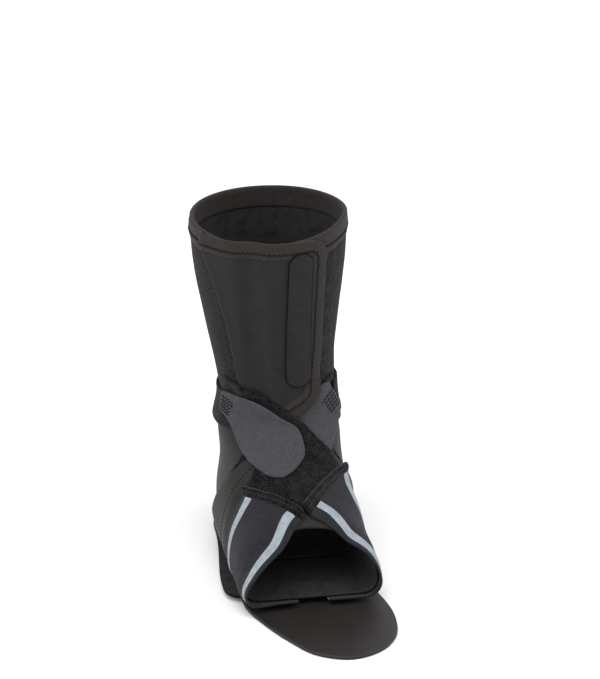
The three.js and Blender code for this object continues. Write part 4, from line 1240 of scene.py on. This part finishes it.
def stripe(name, sheet, first, last, from_left):
    """A pale ribbon knitted into the elastic; first and last are its distance from an edge."""
    rows = np.arange(row_at(sheet, stripe_start), sheet.p.shape[0] - 1.01, 0.25)
    shape = np.array([0, 0.04, 0.15, 0.5, 0.85, 0.96, 1])
    begin = mix(first, last, ease(np.linspace(0, 3, len(rows))))
    offsets = begin[:, None] + stripe_width * shape[None, :]
    cols = columns_at(sheet, rows, offsets, from_left)
    lift = np.array([-0.2, 0.12, 0.28, 0.32, 0.28, 0.12, -0.2])
    wide_rows = np.broadcast_to(rows[:, None], cols.shape)
    p, n = sheet.surface(wide_rows, cols)
    along = path_length(p[:, 3])
    rib = 0.05 * np.cos(2 * np.pi * along / 1.1)[:, None] * (lift > 0)
    points, faces, _ = two_skins(p + n * (lift + rib)[..., None], p - n * 0.35)
    uv = np.stack(np.broadcast_arrays(offsets, along[:, None]), -1).reshape(-1, 2) * 0.001
    piece = make_object(name, points, faces.tolist(), np.concatenate([uv, uv]), None, [stripe_knit])


def elastic_strap(name, edges, node, stripes, standing):
    grid = between(edges, np.linspace(0, 1, 100), 26)

    def folded(sheet):
        from_seam = np.clip(sheet.along / fold_length, 0, 1)
        return fold_height * np.sqrt(np.clip(1 - (2 * from_seam - 0.9) ** 4, 0, 1)) * (from_seam < 1)

    def fold(rows, cols):
        return np.where(rows < fold_rows, 1, 0) + 0 * cols.astype(int)

    rows, cols = grid[0].shape[:2]
    along, across = np.linspace(0, 1, rows)[:, None], np.linspace(0, 1, cols)[None, :]
    lift = standing * (1 - ease(across / 0.55)) * (1 - ease((along - 0.25) / 0.35))
    looks = dict(relief=folded, zones=fold, lift=lift, stiff=8)
    strap = lay(name, grid, elastic_thickness, [elastic, loop_cloth, lining], node, "elastic_knit", **looks)
    cols = np.linspace(1, strap.p.shape[1] - 2, 90)
    for k, distance in enumerate((1.5, 4.6)):
        rows = np.full(90, row_at(strap, distance))
        path, normals = strap.surface(rows, cols)
        straight_seam(f"{name}_seam_{k + 1}", path, normals, thread, "elastic_knit", 2.0, 0.9, 0.26)
    for k, (first, last, from_left) in enumerate(stripes):
        stripe(f"{name}_stripe_{k + 1}", strap, first, last, from_left)
    return strap


# %% [markdown]
# The strap that starts on the outer side lies underneath, so it comes first. Then come the band
# round the ankle and its inner tab: a drop of hook cloth that is sewn on with dense zigzags.

# %% The outer straps, the ankle strap and its inner tab
lateral_loop = loop_strap("lateral_loop_cloth", lateral_loop_edges, "lateral_loop_strap")
stripes = [(4.2, 3.2, True), (5.0, 3.0, False)]
lateral_elastic = elastic_strap(
    "lateral_elastic_knit", lateral_elastic_edges, "lateral_elastic", stripes, 0.5
)

ankle_strap_width, ankle_strap_height = 25.0, 103.0
strap_height = reader(
    [40, 70, 90, 135, 180, 225, 270, 320], [1.078, 1.053, 1.039, 1.01, 1, 0.99, 0.985, 1.01]
)
turn = np.linspace(46, 314, 90)
ankle_line = leg_point(ankle_strap_height * strap_height(turn), turn)[0]
ankle_strap = lay(
    "ankle_strap_knit",
    band(ankle_line, np.linspace(0, 1, 110), ankle_strap_width / 2, ankle_strap_width / 2, 5),
    strap_thickness,
    [loop_cloth],
    "ankle_strap",
    "loop_cloth",
)


def embroidery(name, sheet, begin, length, width):
    """Rows of dense zigzag that hold a tab on the ankle strap."""
    rows = np.linspace(row_at(sheet, begin), row_at(sheet, begin + length), 30)
    lengths = np.interp(rows, np.arange(len(sheet.across)), sheet.across[:, -1])
    for k in range(5):
        side = (k - 2) * width / 5
        cols = np.array([columns_at(sheet, [r], w / 2 + side)[0, 0] for r, w in zip(rows, lengths)])
        path, normals = sheet.surface(rows, cols)
        zigzag_seam(f"{name}_{k + 1}", path, normals, dark_thread_and_shade, "hook_cloth", 2.2, 1.5, 0.3)


def tab(name, edges, node):
    shares = 0.05 + 0.95 * np.sin(np.radians(np.linspace(0, 90, 70))) ** 0.9
    grid = between(edges, shares, 24)
    sheet = lay(name, grid, tab_thickness, [hook_cloth], node, "hook_cloth", stiff=40)
    embroidery(name + "_embroidery", sheet, 1.5, 10, 13)
    return sheet


medial_tab = tab("medial_tab_hooks", medial_tab_edges, "medial_tab")

# %% [markdown]
# ## The front panel
# A smooth jersey panel covers the shin. Tape is folded round its top, its inner side and its bottom,
# and an oblong patch is sewn on beside the tape. On the real brace the patch carries a print; here
# it stays bare, with the same groove round it.

# %% The front panel and its tape
panel_corner, panel_tape_width = 14.0, 10.0
panel_bottom = reader([0, 0.3, 0.5, 0.62, 0.75, 0.88, 1], [112, 106, 101, 104, 109, 113.4, 115.9])
panel_top = brace_height - 2


def panel_place(u, v):
    half = np.radians(panel_right(panel_top)) * calf_depth / 2
    corner = panel_corner / (half - np.radians(panel_left(panel_top)) * calf_depth / 2)
    into = np.clip((u - 1 + corner) / corner, 0, 1)
    rounding = panel_corner * (1 - np.sqrt(np.maximum(0, 1 - into**2)))
    height = mix(panel_top - rounding, panel_bottom(u) + 0.7 * rounding, v)
    return leg_point(height, mix(panel_left(height), panel_right(height), u))


to_corner = [0.875, 0.89, 0.905, 0.92, 0.94, 0.955, 0.97, 0.982, 0.992, 1]
across = np.concatenate([np.linspace(0, 0.86, 40), to_corner])
down = np.linspace(0, 1, 52)
lift = 0.9 * (1 - ease(across / 0.1))[None, :] * np.ones((52, 1))
panel = lay(
    "front_panel_cloth",
    panel_place(across[None, :], down[:, None]),
    panel_thickness,
    [jersey, lining],
    "front_panel",
    "panel_cloth",
    relief=uneven(0.15, 34, 3),
    lift=lift,
)

share = np.linspace(0, 1, 6)
rim_part = leg_point(mix(sleeve_top(258.0), panel_top, ease(share)), mix(-102, -81, share))[0]
top_u, bottom_u = np.linspace(0.01, 0.86, 14), np.linspace(0.86, 0.45, 6)
edge_u = np.concatenate([top_u, [0.93, 0.975], np.full(12, 0.996), [0.975, 0.93], bottom_u])
edge_v = np.concatenate([np.full(16, 0.002), np.linspace(0.03, 0.97, 12), np.full(8, 0.998)])
panel_line = np.concatenate([rim_part, panel_place(edge_u, edge_v)[0]])
tape_sizes = (panel_tape_width, 0, panel_thickness)
folded_tape("panel_tape", panel_line, 240, 1, *tape_sizes, "panel_binding")

# %% [markdown]
# The patch has round ends. Its width follows a half circle at both ends, and its points stand
# closer together there, so the outline stays smooth.

# %% The bare patch
patch_width, patch_length = 14.5, 93.5
patch_top = brace_height - 9
line = leg_point(np.linspace(patch_top, patch_top - patch_length, 8), np.linspace(13.3, 9.5, 8))[0]
end = patch_width / (2 * patch_length)
near = np.array([0, 0.01, 0.03, 0.07, 0.13, 0.22, 0.35, 0.5, 0.7, 1]) * end
shares = np.concatenate([near, np.linspace(end, 1 - end, 40)[1:-1], (1 - near)[::-1]])
into = np.clip(1 - np.minimum(shares, 1 - shares) / end, 0, 1)
half = np.sqrt(np.maximum(0.002, 1 - into**2)) * patch_width / 2
grid = band(line, shares, half, half, 5)
wave = uneven(0.05, 30)
patch = lay("bare_patch", grid, tape_thickness, [jersey], "closure_patch", "panel_cloth", relief=wave)

# %% [markdown]
# The patch is pressed into the panel, which leaves a groove in shade round it. A bump can't cast a
# shadow at an edge, so the shade is painted: a thin dark cord is sunk half way into the cloth along the
# outline.

# %% The painted shade in the groove round the patch
def cord(name, points, normals, radius, depth, finish):
    """A thin round cord, partly sunk into the cloth; it closes on itself."""
    ahead = unit(np.roll(points, -1, 0) - np.roll(points, 1, 0))
    beside = np.cross(ahead, normals)
    turn = np.linspace(0, 2 * np.pi, 8, endpoint=False)
    ring = beside[:, None] * np.cos(turn)[:, None] + normals[:, None] * np.sin(turn)[:, None]
    tube = (points - normals * depth)[:, None] + radius * ring
    count = len(points)
    i = np.arange(count)[:, None]
    j = np.arange(8)[None, :]
    near, far = i * 8, (i + 1) % count * 8
    faces = np.stack([near + j, near + (j + 1) % 8, far + (j + 1) % 8, far + j], -1).reshape(-1, 4)
    flat = tube.reshape(-1, 3)
    if not facing_out(flat, faces):
        faces = faces[:, ::-1]
    uv = np.broadcast_to(np.arange(len(flat))[:, None] * 0.0002, (len(flat), 2))
    return make_object(name, flat, faces.tolist(), uv, None, [finish])


last_row, last_col = patch.p.shape[0] - 1, patch.p.shape[1] - 1
down_rows = np.linspace(0, last_row, 150)
round_rows = np.concatenate([down_rows, down_rows[::-1]])
round_cols = np.concatenate([np.full(150, last_col * 0.999), np.full(150, 0.001)])
groove_points, groove_normals = patch.surface(round_rows, round_cols)
keep = np.concatenate([[True], np.linalg.norm(np.diff(groove_points, axis=0), axis=1) > 0.15])
# The cord is painted shade: a dark ring where the groove round the patch lies in shadow.
groove_shade_radius, groove_shade_depth = 0.7, 0.35
looks = (groove_shade_radius, groove_shade_depth, dark_thread_and_shade)
groove_shade_cord = cord("patch_groove_shade", groove_points[keep], groove_normals[keep], *looks)

# %% [markdown]
# Seams show where strips of cloth meet: two down the side of the sleeve, one near the toes and one
# across the wrap. Each follows a column of its sheet, so it lies on the cloth wherever it goes.

# %% Seams in the sleeve and the wrap
def seam_on(sheet, name, rows, column, kind, *looks):
    path, normals = sheet.surface(rows, np.full(len(rows), column))
    kind(name, path, normals, *looks)


side_rows = np.linspace(2, sleeve.p.shape[0] - 20, 80)
for k, angle in enumerate((56.0, 64.0)):
    column = np.interp(angle, angles_of_sleeve, np.arange(len(angles_of_sleeve)))
    column = column * (sleeve.p.shape[1] - 1) / (len(angles_of_sleeve) - 1)
    looks = (zigzag_seam, thread, "loop_cloth", 1.6, 1.6, 0.26)
    seam_on(sleeve, f"side_strip_seam_{k + 1}", side_rows, column, *looks)

around_rows = np.linspace(0, wrap.p.shape[0] - 1.01, 300)
toe_column, inner_column = wrap.p.shape[1] - 8.0, 15.0
looks = (zigzag_seam, dark_thread_and_shade, "neoprene", 2.0, 1.6, 0.28)
seam_on(wrap, "toe_edge_seam", around_rows, toe_column, *looks)
looks = (straight_seam, dark_thread_and_shade, "neoprene", 2.2, 0.8, 0.26)
seam_on(wrap, "wrap_inner_seam", around_rows, inner_column, *looks)

# %% [markdown]
# The strap from the inner side crosses over the first one, and the outer tab closes on top of it.
# They are laid last, so the rays find everything that lies below them.

# %% The inner straps and the outer tab
medial_loop = loop_strap("medial_loop_cloth", medial_loop_edges, "medial_loop_strap")
stripes = [(1.6, 2.6, True), (7.0, 3.0, False)]
medial_elastic = elastic_strap(
    "medial_elastic_knit", medial_elastic_edges, "medial_elastic", stripes, 3.5
)
lateral_tab = tab("lateral_tab_hooks", lateral_tab_edges, "lateral_tab")
